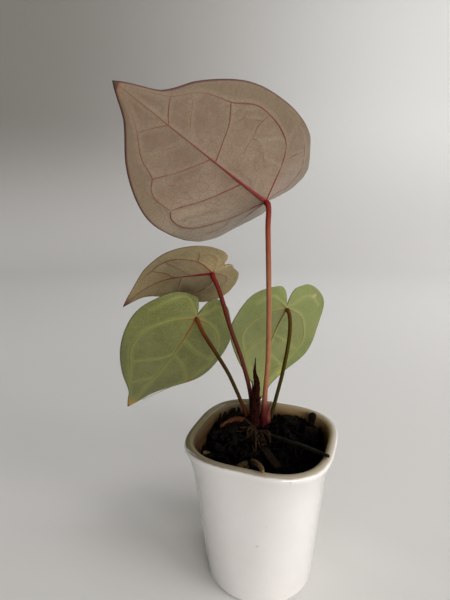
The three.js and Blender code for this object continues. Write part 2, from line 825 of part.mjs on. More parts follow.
function assemble() {
  const plant = new THREE.Group();
  const add = (name, solid, colour, roughness) => {
    plant.add(meshFrom(name, solid, COLOURS[colour], roughness));
  };
  const { stalks, husks, rods, stubs, loose } = makeInserts();
  const crown = {
    pocket: makeCrown(CLEARANCE),
    solid: cut(makeCrown(0), [...stalks, ...husks, ...rods, ...stubs]),
  };
  add('pot', makePot(), 'pot', 0.2);
  const inserts = [...stalks, ...husks, ...rods, ...stubs, ...loose];
  add('potting_mix', cut(makePottingMix(), [crown, ...inserts]), 'pottingMix', 0.95);
  add('crown', crown.solid, 'crown', 0.8);
  LEAVES.forEach((leaf) => add(`${leaf.name}_blade`, makeBlade(leaf), leaf.colour, 0.6));
  inserts.forEach(({ name, solid, colour }) => add(name, solid, colour, 0.7));
  return plant;
}

export default assemble();
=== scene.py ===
"""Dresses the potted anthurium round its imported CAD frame.

Sizes below are in millimetres, as on the CAD part. Each finished mesh is brought to metres.
"""

import logging
import math
from collections.abc import Callable, Sequence
from dataclasses import dataclass
from enum import Enum
from functools import cache, partial

import bmesh
import bpy
import numpy as np
from mathutils import Euler, Matrix, Vector, noise


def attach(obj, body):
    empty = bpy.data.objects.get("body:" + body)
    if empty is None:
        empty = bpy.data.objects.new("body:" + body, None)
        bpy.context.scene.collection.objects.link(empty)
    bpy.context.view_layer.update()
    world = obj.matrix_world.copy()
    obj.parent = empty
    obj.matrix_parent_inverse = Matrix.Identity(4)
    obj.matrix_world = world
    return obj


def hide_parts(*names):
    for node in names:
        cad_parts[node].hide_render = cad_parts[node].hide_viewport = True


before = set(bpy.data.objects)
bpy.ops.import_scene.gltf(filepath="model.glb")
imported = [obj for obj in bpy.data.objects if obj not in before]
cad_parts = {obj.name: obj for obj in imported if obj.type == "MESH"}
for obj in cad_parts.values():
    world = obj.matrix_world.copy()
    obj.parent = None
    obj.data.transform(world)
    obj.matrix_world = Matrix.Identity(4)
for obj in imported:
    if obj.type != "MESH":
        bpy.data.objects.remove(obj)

MM = 0.001
TURN = 2 * math.pi
ROOT = "root"
MERGE_DISTANCE = 1e-4
LOG = logging.getLogger("anthurium")

Array = np.ndarray
BMesh = bmesh.types.BMesh
Material = bpy.types.Material
Outputs = bpy.types.NodeOutputs
Socket = bpy.types.NodeSocket
Tree = bpy.types.NodeTree
Place = Callable[[Array, Array], Array]
Profile = Callable[[Array], Array]
Draw = Callable[[], float]
Colour = tuple[int, int, int]
Point = tuple[float, float, float]
Line = tuple[Point, ...]


class Slot(Enum):
    """Material slot names."""

    POT = "pot_glaze"
    MIX = "bark_mix"
    CROWN = "crown_skin"
    BRONZE_LEAF = "leaf_bronze"
    GREEN_LEAF = "leaf_green"
    RED_STALK = "stalk_red"
    OLIVE_STALK = "stalk_olive"
    HUSK = "dry_husk"
    ROOT = "root_skin"
    BARK = "loose_bark"
    PALE_WOOD = "pale_wood"


# Shapes that the pieces share


def seeded_random(seed: int) -> Draw:
    """Makes the generator that the CAD part draws its chips with.

    Args:
        seed: where the row of numbers starts.

    Returns:
        A function that gives the next number from 0 to 1.
    """
    state = seed

    def draw() -> float:
        """Gives the next number."""
        nonlocal state
        state = (state + 0x6D2B79F5) & 0xFFFFFFFF
        mixed = ((state ^ (state >> 15)) * (1 | state)) & 0xFFFFFFFF
        mixed = ((mixed + ((mixed ^ (mixed >> 7)) * (61 | mixed))) & 0xFFFFFFFF) ^ mixed
        return (mixed ^ (mixed >> 14)) / 4294967296

    return draw


def smooth_step(values: Array, low: float, high: float) -> Array:
    """Rises smoothly from 0 at low to 1 at high."""
    share = np.clip((values - low) / (high - low), 0, 1)
    return share * share * (3 - 2 * share)


def crowd(shares: Array) -> Array:
    """Crowds even shares towards 0 and 1."""
    return 0.5 - 0.5 * np.cos(math.pi * shares)


def monotone_curve(knots: Sequence[float], values: Sequence[float]) -> Profile:
    """Draws a smooth curve through known values that never overshoots between two of them.

    Args:
        knots: where the values are known, rising.
        values: the value at each knot.

    Returns:
        A function from places to values.
    """
    x = np.asarray(knots, float)
    y = np.asarray(values, float)
    spans = np.diff(x)
    rises = np.diff(y) / spans
    slopes = np.concatenate([rises[:1], np.zeros(len(x) - 2), rises[-1:]])
    for i in range(1, len(x) - 1):
        if rises[i - 1] * rises[i] > 0:
            before = 2 * spans[i] + spans[i - 1]
            after = spans[i] + 2 * spans[i - 1]
            slopes[i] = (before + after) / (before / rises[i - 1] + after / rises[i])

    def curve(places: Array) -> Array:
        """Reads the curve at places."""
        i = np.clip(np.searchsorted(x, places, side="left") - 1, 0, len(spans) - 1)
        t = (places - x[i]) / spans[i]
        start = y[i] * (1 + 2 * t) * (1 - t) ** 2 + slopes[i] * spans[i] * t * (1 - t) ** 2
        end = y[i + 1] * t * t * (3 - 2 * t) + slopes[i + 1] * spans[i] * t * t * (t - 1)
        return start + end

    return curve


def even_taper(start: float, middle: float, end: float) -> Profile:
    """Gives a radius that runs smoothly through its values at the start, halfway and at the end."""
    return monotone_curve([0, 0.5, 1], [start, middle, end])


def rough(points: Array, size: float, octaves: int = 2, seed: float = 0.0) -> Array:
    """Reads smooth noise from about -1 to 1 at points, with bumps of a size in millimetres."""
    shift = Vector((seed, 1.7 * seed, -0.6 * seed))
    values = [noise.fractal(Vector(point) / size + shift, 1.0, 2.0, octaves) for point in points]
    return np.array(values)


class Path:
    """A smooth curve through points, with a steady frame square to it."""

    def __init__(self, points: Sequence[Sequence[float]], samples: int = 24) -> None:
        """Follows the points.

        Args:
            points: points that the curve passes through.
            samples: steps of the curve between two of them.
        """
        self.points = self._through(np.asarray(points, float), samples)
        lengths = np.linalg.norm(np.diff(self.points, axis=0), axis=1)
        self.length = float(lengths.sum())
        self.shares = np.concatenate([[0.0], np.cumsum(lengths)]) / self.length
        tangents = np.gradient(self.points, axis=0)
        self.tangents = tangents / np.linalg.norm(tangents, axis=1)[:, None]
        side = np.eye(3)[np.argmin(np.abs(self.tangents[0]))]
        sides = []
        for tangent in self.tangents:
            side = side - tangent * side.dot(tangent)
            side = side / np.linalg.norm(side)
            sides.append(side)
        self.sides = np.array(sides)

    @staticmethod
    def _through(knots: Array, samples: int) -> Array:
        """Samples the centripetal curve through knots."""
        ends = [2 * knots[0] - knots[1], *knots, 2 * knots[-1] - knots[-2]]
        t = np.linspace(0, 1, samples, endpoint=False)[:, None]
        stretches = []
        for before, start, end, after in zip(ends, ends[1:], ends[2:], ends[3:]):
            gaps = (start - before, end - start, after - end)
            first, middle, last = (math.sqrt(np.linalg.norm(gap)) for gap in gaps)
            leave = gaps[0] / first - (end - before) / (first + middle) + gaps[1] / middle
            arrive = gaps[1] / middle - (after - start) / (middle + last) + gaps[2] / last
            stretch = (2 * t**3 - 3 * t**2 + 1) * start + (3 * t**2 - 2 * t**3) * end
            stretch += middle * ((t**3 - 2 * t**2 + t) * leave + (t**3 - t**2) * arrive)
            stretches.append(stretch)
        return np.concatenate([*stretches, knots[-1:]])

    def at(self, shares: Array) -> tuple[Array, Array, Array]:
        """Gives centres and two directions square to the path, at shares of its length."""

        def pick(rows: Array) -> Array:
            """Reads rows of vectors between the samples."""
            return np.stack([np.interp(shares, self.shares, rows[:, k]) for k in range(3)], axis=1)

        sides = pick(self.sides)
        sides /= np.linalg.norm(sides, axis=1)[:, None]
        return pick(self.points), sides, np.cross(pick(self.tangents), sides)


def open_mesh(*layers: str) -> BMesh:
    """Starts a mesh whose vertices carry the layer along, and more float layers by name."""
    bm = bmesh.new()
    for name in ("along", *layers):
        bm.verts.layers.float.new(name)
    return bm


def add_grid(bm: BMesh, steps: int, sides: int, place: Place) -> tuple[list, Array]:
    """Adds a grid whose corners are moved by a formula.

    Args:
        bm: the mesh that takes it.
        steps: faces along the first share.
        sides: faces along the second share.
        place: gives points from two arrays of shares, 0 to 1.

    Returns:
        The new vertices, and their two shares.
    """
    made = bmesh.ops.create_grid(bm, x_segments=steps, y_segments=sides, size=0.5)["verts"]
    shares = np.array([vertex.co.xy for vertex in made]) + 0.5
    for vertex, point in zip(made, place(shares[:, 0], shares[:, 1])):
        vertex.co = point
    return made, shares


def write_layer(bm: BMesh, name: str, vertices: Sequence, values: Array) -> None:
    """Writes one number a vertex under a name that a material can read."""
    layer = bm.verts.layers.float[name]
    for vertex, value in zip(vertices, values):
        vertex[layer] = float(value)


@dataclass(frozen=True)
class Tube:
    """A round piece along a path, with rounded ends.

    Attributes:
        points: points along its middle.
        radius: its radius at shares of its length.
        steps: faces along it.
        sides: faces round it.
        flatten: its depth as a share of its width.
        relief: swelling as a share of the radius, from millimetres along and the angle round.
        tint: the number that its material reads, from shares of its length.
    """

    points: Sequence[Sequence[float]]
    radius: Profile
    steps: int
    sides: int
    flatten: float = 1.0
    relief: Place | None = None
    tint: Profile | None = None

    def add_to(self, bm: BMesh) -> None:
        """Adds the tube to a mesh, with its tint under the name along."""
        path = Path(self.points)

        def place(first: Array, second: Array) -> Array:
            """Puts the grid round the path, its steps crowded at both ends."""
            along = crowd(first)
            angle = TURN * second
            centres, sides, thirds = path.at(along)
            size = self.radius(along)
            to_end = np.clip(np.minimum(along, 1 - along) * path.length / size, 0, 1)
            size = size * np.sqrt(1 - (1 - to_end) ** 2)
            if self.relief:
                size = size * (1 + self.relief(along * path.length, angle))
            wide = (size * np.cos(angle))[:, None]
            deep = (self.flatten * size * np.sin(angle))[:, None]
            return centres + wide * sides + deep * thirds

        vertices, shares = add_grid(bm, self.steps, self.sides, place)
        along = crowd(shares[:, 0])
        write_layer(bm, "along", vertices, self.tint(along) if self.tint else along)


def new_mesh(name: str, bm: BMesh) -> bpy.types.Mesh:
    """Brings a mesh from millimetres to metres under a name, and frees its builder."""
    bmesh.ops.scale(bm, vec=(MM, MM, MM), verts=bm.verts)
    mesh = bpy.data.meshes.new(name)
    bm.to_mesh(mesh)
    bm.free()
    return mesh


def add_object(name: str, data: bpy.types.ID) -> bpy.types.Object:
    """Adds an object with its data to the scene."""
    thing = bpy.data.objects.new(name, data)
    bpy.context.scene.collection.objects.link(thing)
    return thing


def make_piece(
    name: str, bm: BMesh, materials: Sequence[Material], nodes: Sequence[str] = ()
) -> bpy.types.Object:
    """Closes a mesh, brings it to metres and hands it to the frame.

    Args:
        name: the piece's name.
        bm: its mesh in millimetres, which is freed.
        materials: its materials, in the order of the faces' material numbers.
        nodes: the CAD nodes that it stands for.

    Returns:
        The new object, at the origin.
    """
    bmesh.ops.remove_doubles(bm, verts=bm.verts, dist=MERGE_DISTANCE)
    bmesh.ops.recalc_face_normals(bm, faces=bm.faces)
    mesh = new_mesh(name, bm)
    mesh.shade_smooth()
    for material in materials:
        mesh.materials.append(material)
    piece = add_object(name, mesh)
    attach(piece, ROOT)
    if nodes:
        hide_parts(*nodes)
    LOG.info("%s: %d faces", name, len(mesh.polygons))
    return piece


# Materials


def paint(colour: Colour) -> tuple[float, float, float, float]:
    """Turns a screen colour, 0 to 255 each, into the shader's linear one."""
    shares = [value / 255 for value in colour]
    linear = [c / 12.92 if c <= 0.04045 else ((c + 0.055) / 1.055) ** 2.4 for c in shares]
    return (*linear, 1.0)


class Wiring:
    """Adds nodes to a shader tree and joins their sockets."""

    def __init__(self, tree: Tree) -> None:
        """Works on one tree."""
        self.tree = tree

    def feed(self, socket: Socket, value: object) -> None:
        """Gives a socket a link or a plain value."""
        if isinstance(value, Socket):
            self.tree.links.new(value, socket)
        else:
            socket.default_value = value

    def add(self, kind: str, sockets: dict | None = None, **settings: object) -> bpy.types.Node:
        """Adds a node.

        Args:
            kind: the node's type.
            sockets: links or values by the input's name or number.
            settings: the node's own settings.

        Returns:
            The new node.
        """
        node = self.tree.nodes.new(kind)
        for name, value in settings.items():
            setattr(node, name, value)
        for name, value in (sockets or {}).items():
            self.feed(node.inputs[name], value)
        return node

    def mix(self, share: object, first: object, second: object, blend: str = "MIX") -> Socket:
        """Mixes two colours, each a link or a screen colour."""
        low, high = (paint(end) if isinstance(end, tuple) else end for end in (first, second))
        node = self.add("ShaderNodeMix", {0: share, 6: low, 7: high}, data_type="RGBA", blend_type=blend)
        return node.outputs[2]

    def sums(self, operation: str, first: object, second: object) -> Socket:
        """Works out one number."""
        return self.add("ShaderNodeMath", {0: first, 1: second}, operation=operation).outputs[0]

    def plus(self, first: object, second: object) -> Socket:
        """Adds two numbers."""
        return self.sums("ADD", first, second)

    def less(self, first: object, second: object) -> Socket:
        """Takes the second number from the first."""
        return self.sums("SUBTRACT", first, second)

    def times(self, first: object, second: object) -> Socket:
        """Multiplies two numbers."""
        return self.sums("MULTIPLY", first, second)

    def per(self, first: object, second: object) -> Socket:
        """Divides the first number by the second."""
        return self.sums("DIVIDE", first, second)

    def rise(self, value: object, low: object, high: object, top: float = 1.0, foot: float = 0.0) -> Socket:
        """Runs smoothly from foot at low to top at high."""
        sockets = {"Value": value, "From Min": low, "From Max": high, "To Min": foot, "To Max": top}
        return self.add("ShaderNodeMapRange", sockets, interpolation_type="SMOOTHSTEP").outputs[0]

    def fall(self, value: object, low: object, high: object, top: float = 1.0) -> Socket:
        """Falls smoothly from top at low to 0 at high."""
        return self.rise(value, low, high, 0.0, top)

    def vectors(self, operation: str, first: object, second: object) -> Outputs:
        """Works out a vector, or a number from two vectors."""
        return self.add("ShaderNodeVectorMath", {0: first, 1: second}, operation=operation).outputs

    def distance(self, first: object, second: object) -> Socket:
        """Gives the distance between two places."""
        return self.vectors("DISTANCE", first, second)["Value"]

    def grain(self, vector: Socket, scale: object, detail: float, roughness: float = 0.5) -> Outputs:
        """Reads smooth noise, as a number and as a colour."""
        sockets = {"Vector": vector, "Scale": scale, "Detail": detail, "Roughness": roughness}
        return self.add("ShaderNodeTexNoise", sockets).outputs

    def layer(self, name: str, vector: bool = False) -> Socket:
        """Reads a named layer of the mesh."""
        node = self.add("ShaderNodeAttribute", attribute_name=name)
        return node.outputs["Vector" if vector else "Fac"]

    def place(self) -> Socket:
        """Reads the place on the part, in millimetres."""
        metres = self.add("ShaderNodeTexCoord").outputs["Object"]
        sockets = {"Vector": metres, "Scale": (1 / MM, 1 / MM, 1 / MM)}
        return self.add("ShaderNodeMapping", sockets).outputs[0]

    def axes(self, place: Socket) -> Outputs:
        """Parts a place into X, Y and Z."""
        return self.add("ShaderNodeSeparateXYZ", {0: place}).outputs

    def ramp(self, value: object, stops: Sequence[tuple[float, Colour]]) -> Socket:
        """Runs smoothly through colours at shares from 0 to 1."""
        node = self.add("ShaderNodeValToRGB", {"Fac": value})
        elements = node.color_ramp.elements
        while len(elements) < len(stops):
            elements.new(0.5)
        for element, (share, colour) in zip(elements, stops):
            element.position = share
            element.color = paint(colour)
        return node.outputs["Color"]

    def results(self, **values: Socket) -> Tree:
        """Ends a node group with its results."""
        self.add("NodeGroupOutput", {name.capitalize(): value for name, value in values.items()})
        return self.tree


def new_group(name: str, outputs: Sequence[str], **inputs: object) -> tuple[Wiring, Outputs]:
    """Starts a shader node group.

    Args:
        name: the group's name.
        outputs: the names of its results, each one number.
        inputs: the first value of each input, a number or a vector.

    Returns:
        The wiring of the new group, and its inputs as sockets to link from.
    """
    tree = bpy.data.node_groups.new(name, "ShaderNodeTree")
    for title, value in inputs.items():
        kind = "NodeSocketVector" if isinstance(value, tuple) else "NodeSocketFloat"
        socket = tree.interface.new_socket(title.capitalize(), in_out="INPUT", socket_type=kind)
        socket.default_value = value
    for title in outputs:
        tree.interface.new_socket(title, in_out="OUTPUT", socket_type="NodeSocketFloat")
    wiring = Wiring(tree)
    return wiring, wiring.add("NodeGroupInput").outputs


ORIGIN = (0.0, 0.0, 0.0)


@cache
def mottle_group() -> Tree:
    """Builds soft blotches of a size in millimetres: a mask, and the plain noise."""
    wiring, given = new_group("mottle", ("Mask", "Noise"), vector=ORIGIN, size=5.0, edge=0.2)
    value = wiring.grain(given["Vector"], wiring.per(1.0, given["Size"]), 4.0, 0.55)["Fac"]
    mask = wiring.rise(value, wiring.less(0.5, given["Edge"]), wiring.plus(0.5, given["Edge"]))
    return wiring.results(mask=mask, noise=value)


@cache
def net_group() -> Tree:
    """Builds a net of fine veins: 1 on its threads, for cells of a size in millimetres."""
    wiring, given = new_group("net", ("Mask",), vector=ORIGIN, cell=3.0, thread=0.08)
    scale = wiring.per(1.0, given["Cell"])
    wander = wiring.grain(given["Vector"], scale, 2.0)["Color"]
    push = wiring.add("ShaderNodeVectorMath", {0: wander, "Scale": given["Cell"]}, operation="SCALE")
    bent = wiring.vectors("ADD", given["Vector"], push.outputs[0])[0]
    cells = wiring.add("ShaderNodeTexVoronoi", {"Vector": bent, "Scale": scale}, feature="DISTANCE_TO_EDGE")
    return wiring.results(mask=wiring.fall(cells.outputs["Distance"], 0.0, given["Thread"]))


@cache
def spot_group() -> Tree:
    """Builds a ragged spot: 1 within a radius of its centre."""
    wiring, given = new_group("spot", ("Mask",), vector=ORIGIN, centre=ORIGIN, radius=1.0)
    ragged = wiring.less(wiring.grain(given["Vector"], 0.9, 3.0)["Fac"], 0.5)
    share = wiring.per(wiring.distance(given["Vector"], given["Centre"]), given["Radius"])
    return wiring.results(mask=wiring.fall(wiring.plus(share, ragged), 0.45, 1.0))


@cache
def fibre_group() -> Tree:
    """Builds long fibres of wood or dry sheath: a mask, for vectors whose Z runs along them."""
    wiring, given = new_group("fibre", ("Mask",), vector=ORIGIN, width=0.5, stretch=8.0)
    across = wiring.per(1.0, given["Width"])
    down = wiring.per(across, given["Stretch"])
    scale = wiring.add("ShaderNodeCombineXYZ", {"X": across, "Y": across, "Z": down}).outputs[0]
    stretched = wiring.vectors("MULTIPLY", given["Vector"], scale)[0]
    return wiring.results(mask=wiring.rise(wiring.grain(stretched, 1.0, 5.0)["Fac"], 0.3, 0.7))


class Finish(Wiring):
    """One material: its wiring, its shader and the sockets that are alike all over it."""

    def __init__(self, name: str, **uniform: object) -> None:
        """Starts a material.

        Args:
            name: the material's name.
            uniform: plain values of the shader's sockets, words joined by underscores.
        """
        self.material = bpy.data.materials.new(name)
        self.material.use_nodes = True
        super().__init__(self.material.node_tree)
        self.shader = self.tree.nodes["Principled BSDF"]
        titles = {socket.name.lower().replace(" ", "_"): socket for socket in self.shader.inputs}
        for title, value in uniform.items():
            titles[title].default_value = value

    def group(self, tree: Tree, **values: object) -> tuple[Socket, ...]:
        """Places a node group with its values, and gives its results."""
        sockets = {name.capitalize(): value for name, value in values.items()}
        return tuple(self.add("ShaderNodeGroup", sockets, node_tree=tree).outputs)

    def mottle(self, vector: Socket, size: float, edge: float) -> tuple[Socket, ...]:
        """Gives the mask and the plain noise of soft blotches."""
        return self.group(mottle_group(), vector=vector, size=size, edge=edge)

    def net(self, vector: Socket, cell: float, thread: float) -> Socket:
        """Gives the mask of a net of fine veins."""
        return self.group(net_group(), vector=vector, cell=cell, thread=thread)[0]

    def spot(self, vector: Socket, centre: Point, radius: float) -> Socket:
        """Gives the mask of a ragged spot."""
        return self.group(spot_group(), vector=vector, centre=centre, radius=radius)[0]

    def fibre(self, vector: Socket, width: float, stretch: float) -> Socket:
        """Gives the mask of long fibres."""
        return self.group(fibre_group(), vector=vector, width=width, stretch=stretch)[0]

    def finish(self, colour: Socket, roughness: object, height: object = None, depth: float = 0) -> Material:
        """Joins colour, roughness and relief to the shader.

        Args:
            colour: the base colour.
            roughness: the roughness.
            height: relief from 0 to 1, if there is any.
            depth: how deep that relief is, in millimetres.

        Returns:
            The material.
        """
        self.feed(self.shader.inputs["Base Color"], colour)
        self.feed(self.shader.inputs["Roughness"], roughness)
        if height is not None:
            bump = self.add("ShaderNodeBump", {"Height": height, "Distance": depth * MM, "Strength": 1.0})
            self.feed(self.shader.inputs["Normal"], bump.outputs["Normal"])
        return self.material


@dataclass(frozen=True)
class LeafFinish:
    """The colours of a blade, as screen colours.

    Attributes:
        under: the underside between the veins, and its other tone.
        border: the underside outside the collective vein, and how strong it is.
        halo: the underside beside the main veins.
        halo_reach: how far the halo goes, in millimetres.
        halo_strength: how strong it is.
        net: the fine veins, and how strong they are.
        vein: the main veins near the stalk, and near the tip.
        vein_fade: how far from the stalk they keep its colour, as a share of the length.
        margin: the thin line along the edge.
        tip: the dry tip, and how much of the blade's length it is.
        tip_end: the dead end of the tip.
        upper: the velvet upper side, and its other tone.
        band: the pale bands on the upper side.
        painted_light_and_tone: soft patches, some painted shade, some painted light and some darker tone:
            along and across in millimetres, radius, strength and colour.
        patches: spots: along and across in millimetres, radius and colour.
    """

    under: tuple[Colour, Colour]
    border: tuple[Colour, float]
    halo: Colour
    halo_reach: float
    halo_strength: float
    net: tuple[Colour, float]
    vein: tuple[Colour, Colour]
    margin: Colour
    tip: tuple[Colour, float]
    upper: tuple[Colour, Colour]
    band: Colour
    vein_fade: float = 0.75
    tip_end: Colour = (64, 38, 28)
    painted_light_and_tone: tuple[tuple[float, float, float, float, Colour], ...] = ()
    patches: tuple[tuple[float, float, float, Colour], ...] = ()

    def underside(self, name: str) -> Material:
        """Makes the matt underside."""
        skin = Finish(f"{name}_underside", specular_ior_level=0.28, sheen_weight=0.12, sheen_roughness=0.5)
        flat = skin.layer("flat", vector=True)
        blotch, wander = skin.mottle(flat, size=16.0, edge=0.2)
        border, border_strength = self.border
        colour = skin.mix(blotch, *self.under)
        colour = skin.mix(skin.times(skin.layer("outside"), border_strength), colour, border)
        # Soft patches of painted shade and painted light, and darker tone, as each finish lists them.
        for u, v, radius, strength, shade in self.painted_light_and_tone:
            share = skin.fall(skin.distance(flat, (u, v, 0)), 0.2 * radius, radius, strength)
            colour = skin.mix(share, colour, shade)
        halo = skin.fall(skin.layer("vein"), 0.25 * self.halo_reach, self.halo_reach, self.halo_strength)
        colour = skin.mix(halo, colour, self.halo)
        thread, net_strength = self.net
        net = skin.net(flat, cell=5.5, thread=0.07)
        mesh = skin.net(flat, cell=1.5, thread=0.16)
        colour = skin.mix(skin.times(mesh, net_strength), colour, thread)
        colour = skin.mix(skin.times(net, 0.7 * net_strength), colour, thread)
        for u, v, radius, patch in self.patches:
            colour = skin.mix(skin.spot(flat, (u, v, 0), radius), colour, patch)
        tip, tip_length = self.tip
        uneven = skin.plus(skin.layer("along"), skin.times(wander, 0.03))
        dry = skin.rise(uneven, 1.0 - tip_length, 1.015 - 0.3 * tip_length, 0.85)
        colour = skin.mix(dry, colour, tip)
        colour = skin.mix(skin.rise(skin.layer("rim"), 0.982, 0.992, 0.85), colour, self.margin)
        colour = skin.mix(skin.rise(uneven, 0.975, 0.995), colour, self.tip_end)
        fine = skin.mottle(flat, size=0.7, edge=0.3)[1]
        height = skin.plus(skin.plus(skin.times(net, 0.7), fine), skin.times(mesh, 0.25))
        return skin.finish(colour, roughness=0.56, height=height, depth=0.045)

    def upper_side(self, name: str) -> Material:
        """Makes the velvet upper side, with pale bands along the sunken veins."""
        sheen = {"sheen_weight": 0.55, "sheen_roughness": 0.35, "sheen_tint": paint(self.band)}
        skin = Finish(f"{name}_upper", specular_ior_level=0.2, **sheen)
        flat = skin.layer("flat", vector=True)
        blotch, wander = skin.mottle(flat, size=11.0, edge=0.22)
        colour = skin.mix(blotch, *self.upper)
        ragged = skin.plus(skin.layer("vein"), skin.times(wander, -0.9))
        colour = skin.mix(skin.fall(ragged, 0.0, 1.5, 0.75), colour, self.band)
        net = skin.net(flat, cell=3.4, thread=0.1)
        colour = skin.mix(skin.times(net, skin.rise(wander, 0.3, 0.7, 0.24)), colour, self.band)
        colour = skin.mix(skin.rise(skin.layer("rim"), 0.975, 0.992, 0.8), colour, self.margin)
        sparkle = skin.mottle(flat, size=0.35, edge=0.2)[1]
        height = skin.less(sparkle, skin.times(net, 0.8))
        return skin.finish(colour, roughness=0.72, height=height, depth=0.12)

    def veins(self, name: str) -> Material:
        """Makes the raised veins, which fade from the stalk's colour to the blade's."""
        skin = Finish(f"{name}_vein_skin", specular_ior_level=0.35)
        speckle = skin.mottle(skin.place(), size=2.5, edge=0.25)[1]
        shifted = skin.plus(skin.layer("along"), skin.times(speckle, 0.1))
        colour = skin.mix(skin.rise(shifted, 0.05, self.vein_fade), *self.vein)
        return skin.finish(colour, roughness=0.45, height=speckle, depth=0.05)


BRONZE = LeafFinish(
    under=((146, 127, 109), (130, 109, 90)),
    border=((126, 113, 90), 0.8),
    halo=(134, 121, 98),
    halo_reach=2.6,
    halo_strength=0.42,
    net=((108, 80, 64), 0.36),
    vein=((120, 34, 34), (120, 74, 58)),
    margin=(84, 38, 40),
    tip=((136, 92, 58), 0.05),
    upper=((52, 44, 30), (66, 50, 34)),
    band=(120, 112, 84),
    # Darker towards the tip and along the upper edge; painted light on the lower lobe, which the cupped blade
    # turns away from the lamps.
    painted_light_and_tone=(
        (84, 0, 66, 0.55, (100, 82, 64)),
        (30, 42, 44, 0.5, (104, 88, 66)),
        (2, 28, 26, 0.25, (108, 90, 70)),
        (14, -35, 37, 0.9, (176, 157, 134)),
        (86, 0, 18, 0.5, (92, 66, 42)),
    ),
)
DARK_BRONZE = LeafFinish(
    under=((168, 149, 109), (146, 128, 90)),
    border=((152, 140, 96), 0.5),
    halo=(150, 132, 94),
    halo_reach=1.8,
    halo_strength=0.3,
    net=((100, 76, 50), 0.34),
    vein=((122, 32, 30), (118, 60, 44)),
    margin=(96, 46, 44),
    tip=((100, 52, 42), 0.1),
    upper=((44, 42, 26), (58, 48, 30)),
    band=(112, 108, 80),
    # Painted shadow along the lower edge, where the leaf below comes close.
    painted_light_and_tone=(
        (22, -15, 12, 0.85, (70, 60, 28)),
        (10, -12, 10, 0.5, (92, 78, 44)),
        (34, -6, 14, 0.35, (112, 98, 64)),
    ),
)
GREEN = LeafFinish(
    under=((104, 106, 62), (90, 91, 48)),
    border=((90, 97, 46), 0.5),
    halo=(120, 124, 64),
    halo_reach=2.4,
    halo_strength=0.55,
    net=((128, 130, 72), 0.34),
    vein=((124, 84, 42), (122, 122, 66)),
    margin=(76, 74, 42),
    tip=((176, 122, 46), 0.12),
    upper=((26, 44, 24), (34, 54, 30)),
    band=(132, 150, 118),
    vein_fade=0.34,
    patches=((41.6, -22.0, 2.3, (150, 70, 36)), (62.0, -6.0, 1.2, (120, 92, 44))),
)
LIGHT_GREEN = LeafFinish(
    under=((130, 134, 84), (118, 124, 70)),
    border=((118, 130, 72), 0.5),
    halo=(146, 150, 90),
    halo_reach=2.2,
    halo_strength=0.5,
    net=((142, 146, 92), 0.32),
    vein=((124, 98, 44), (138, 140, 72)),
    margin=(92, 98, 52),
    tip=((150, 138, 60), 0.05),
    upper=((30, 50, 26), (40, 62, 32)),
    band=(136, 154, 120),
    vein_fade=0.34,
    # Painted shade on the blade's right half, about halfway along.
    painted_light_and_tone=((46, -12, 16, 0.5, (100, 106, 56)), (30, -24, 10, 0.3, (104, 112, 62))),
    patches=(
        (-5.3, -18.6, 1.7, (172, 150, 118)),
        (44.5, 17.5, 3.0, (158, 156, 62)),
        (50.0, -12.0, 3.6, (160, 152, 66)),
    ),
)


# The leaves


OUTLINE_ANGLES = (0, 7, 18, 35, 60, 90, 120, 145, 163, 180)


@dataclass(frozen=True)
class Vein:
    """A vein: points along and across the blade, as shares of its length, and its radii in millimetres.

    A collective vein runs along the rim and parts the blade's middle from its border.
    """

    points: tuple[tuple[float, float], ...]
    start: float
    end: float = 0.12
    collective: bool = False

    def line(self, samples: int) -> Array:
        """Gives the vein as a smooth line of points along and across, in shares."""
        return Path([(u, v, 0.0) for u, v in self.points], samples).points[:, :2]

    def radius(self) -> Profile:
        """Gives the vein's radius: quick to thin near its start, slow after it."""
        middle = self.end + 0.45 * (self.start - self.end)
        return monotone_curve([0, 0.25, 1], [self.start, middle, self.end])


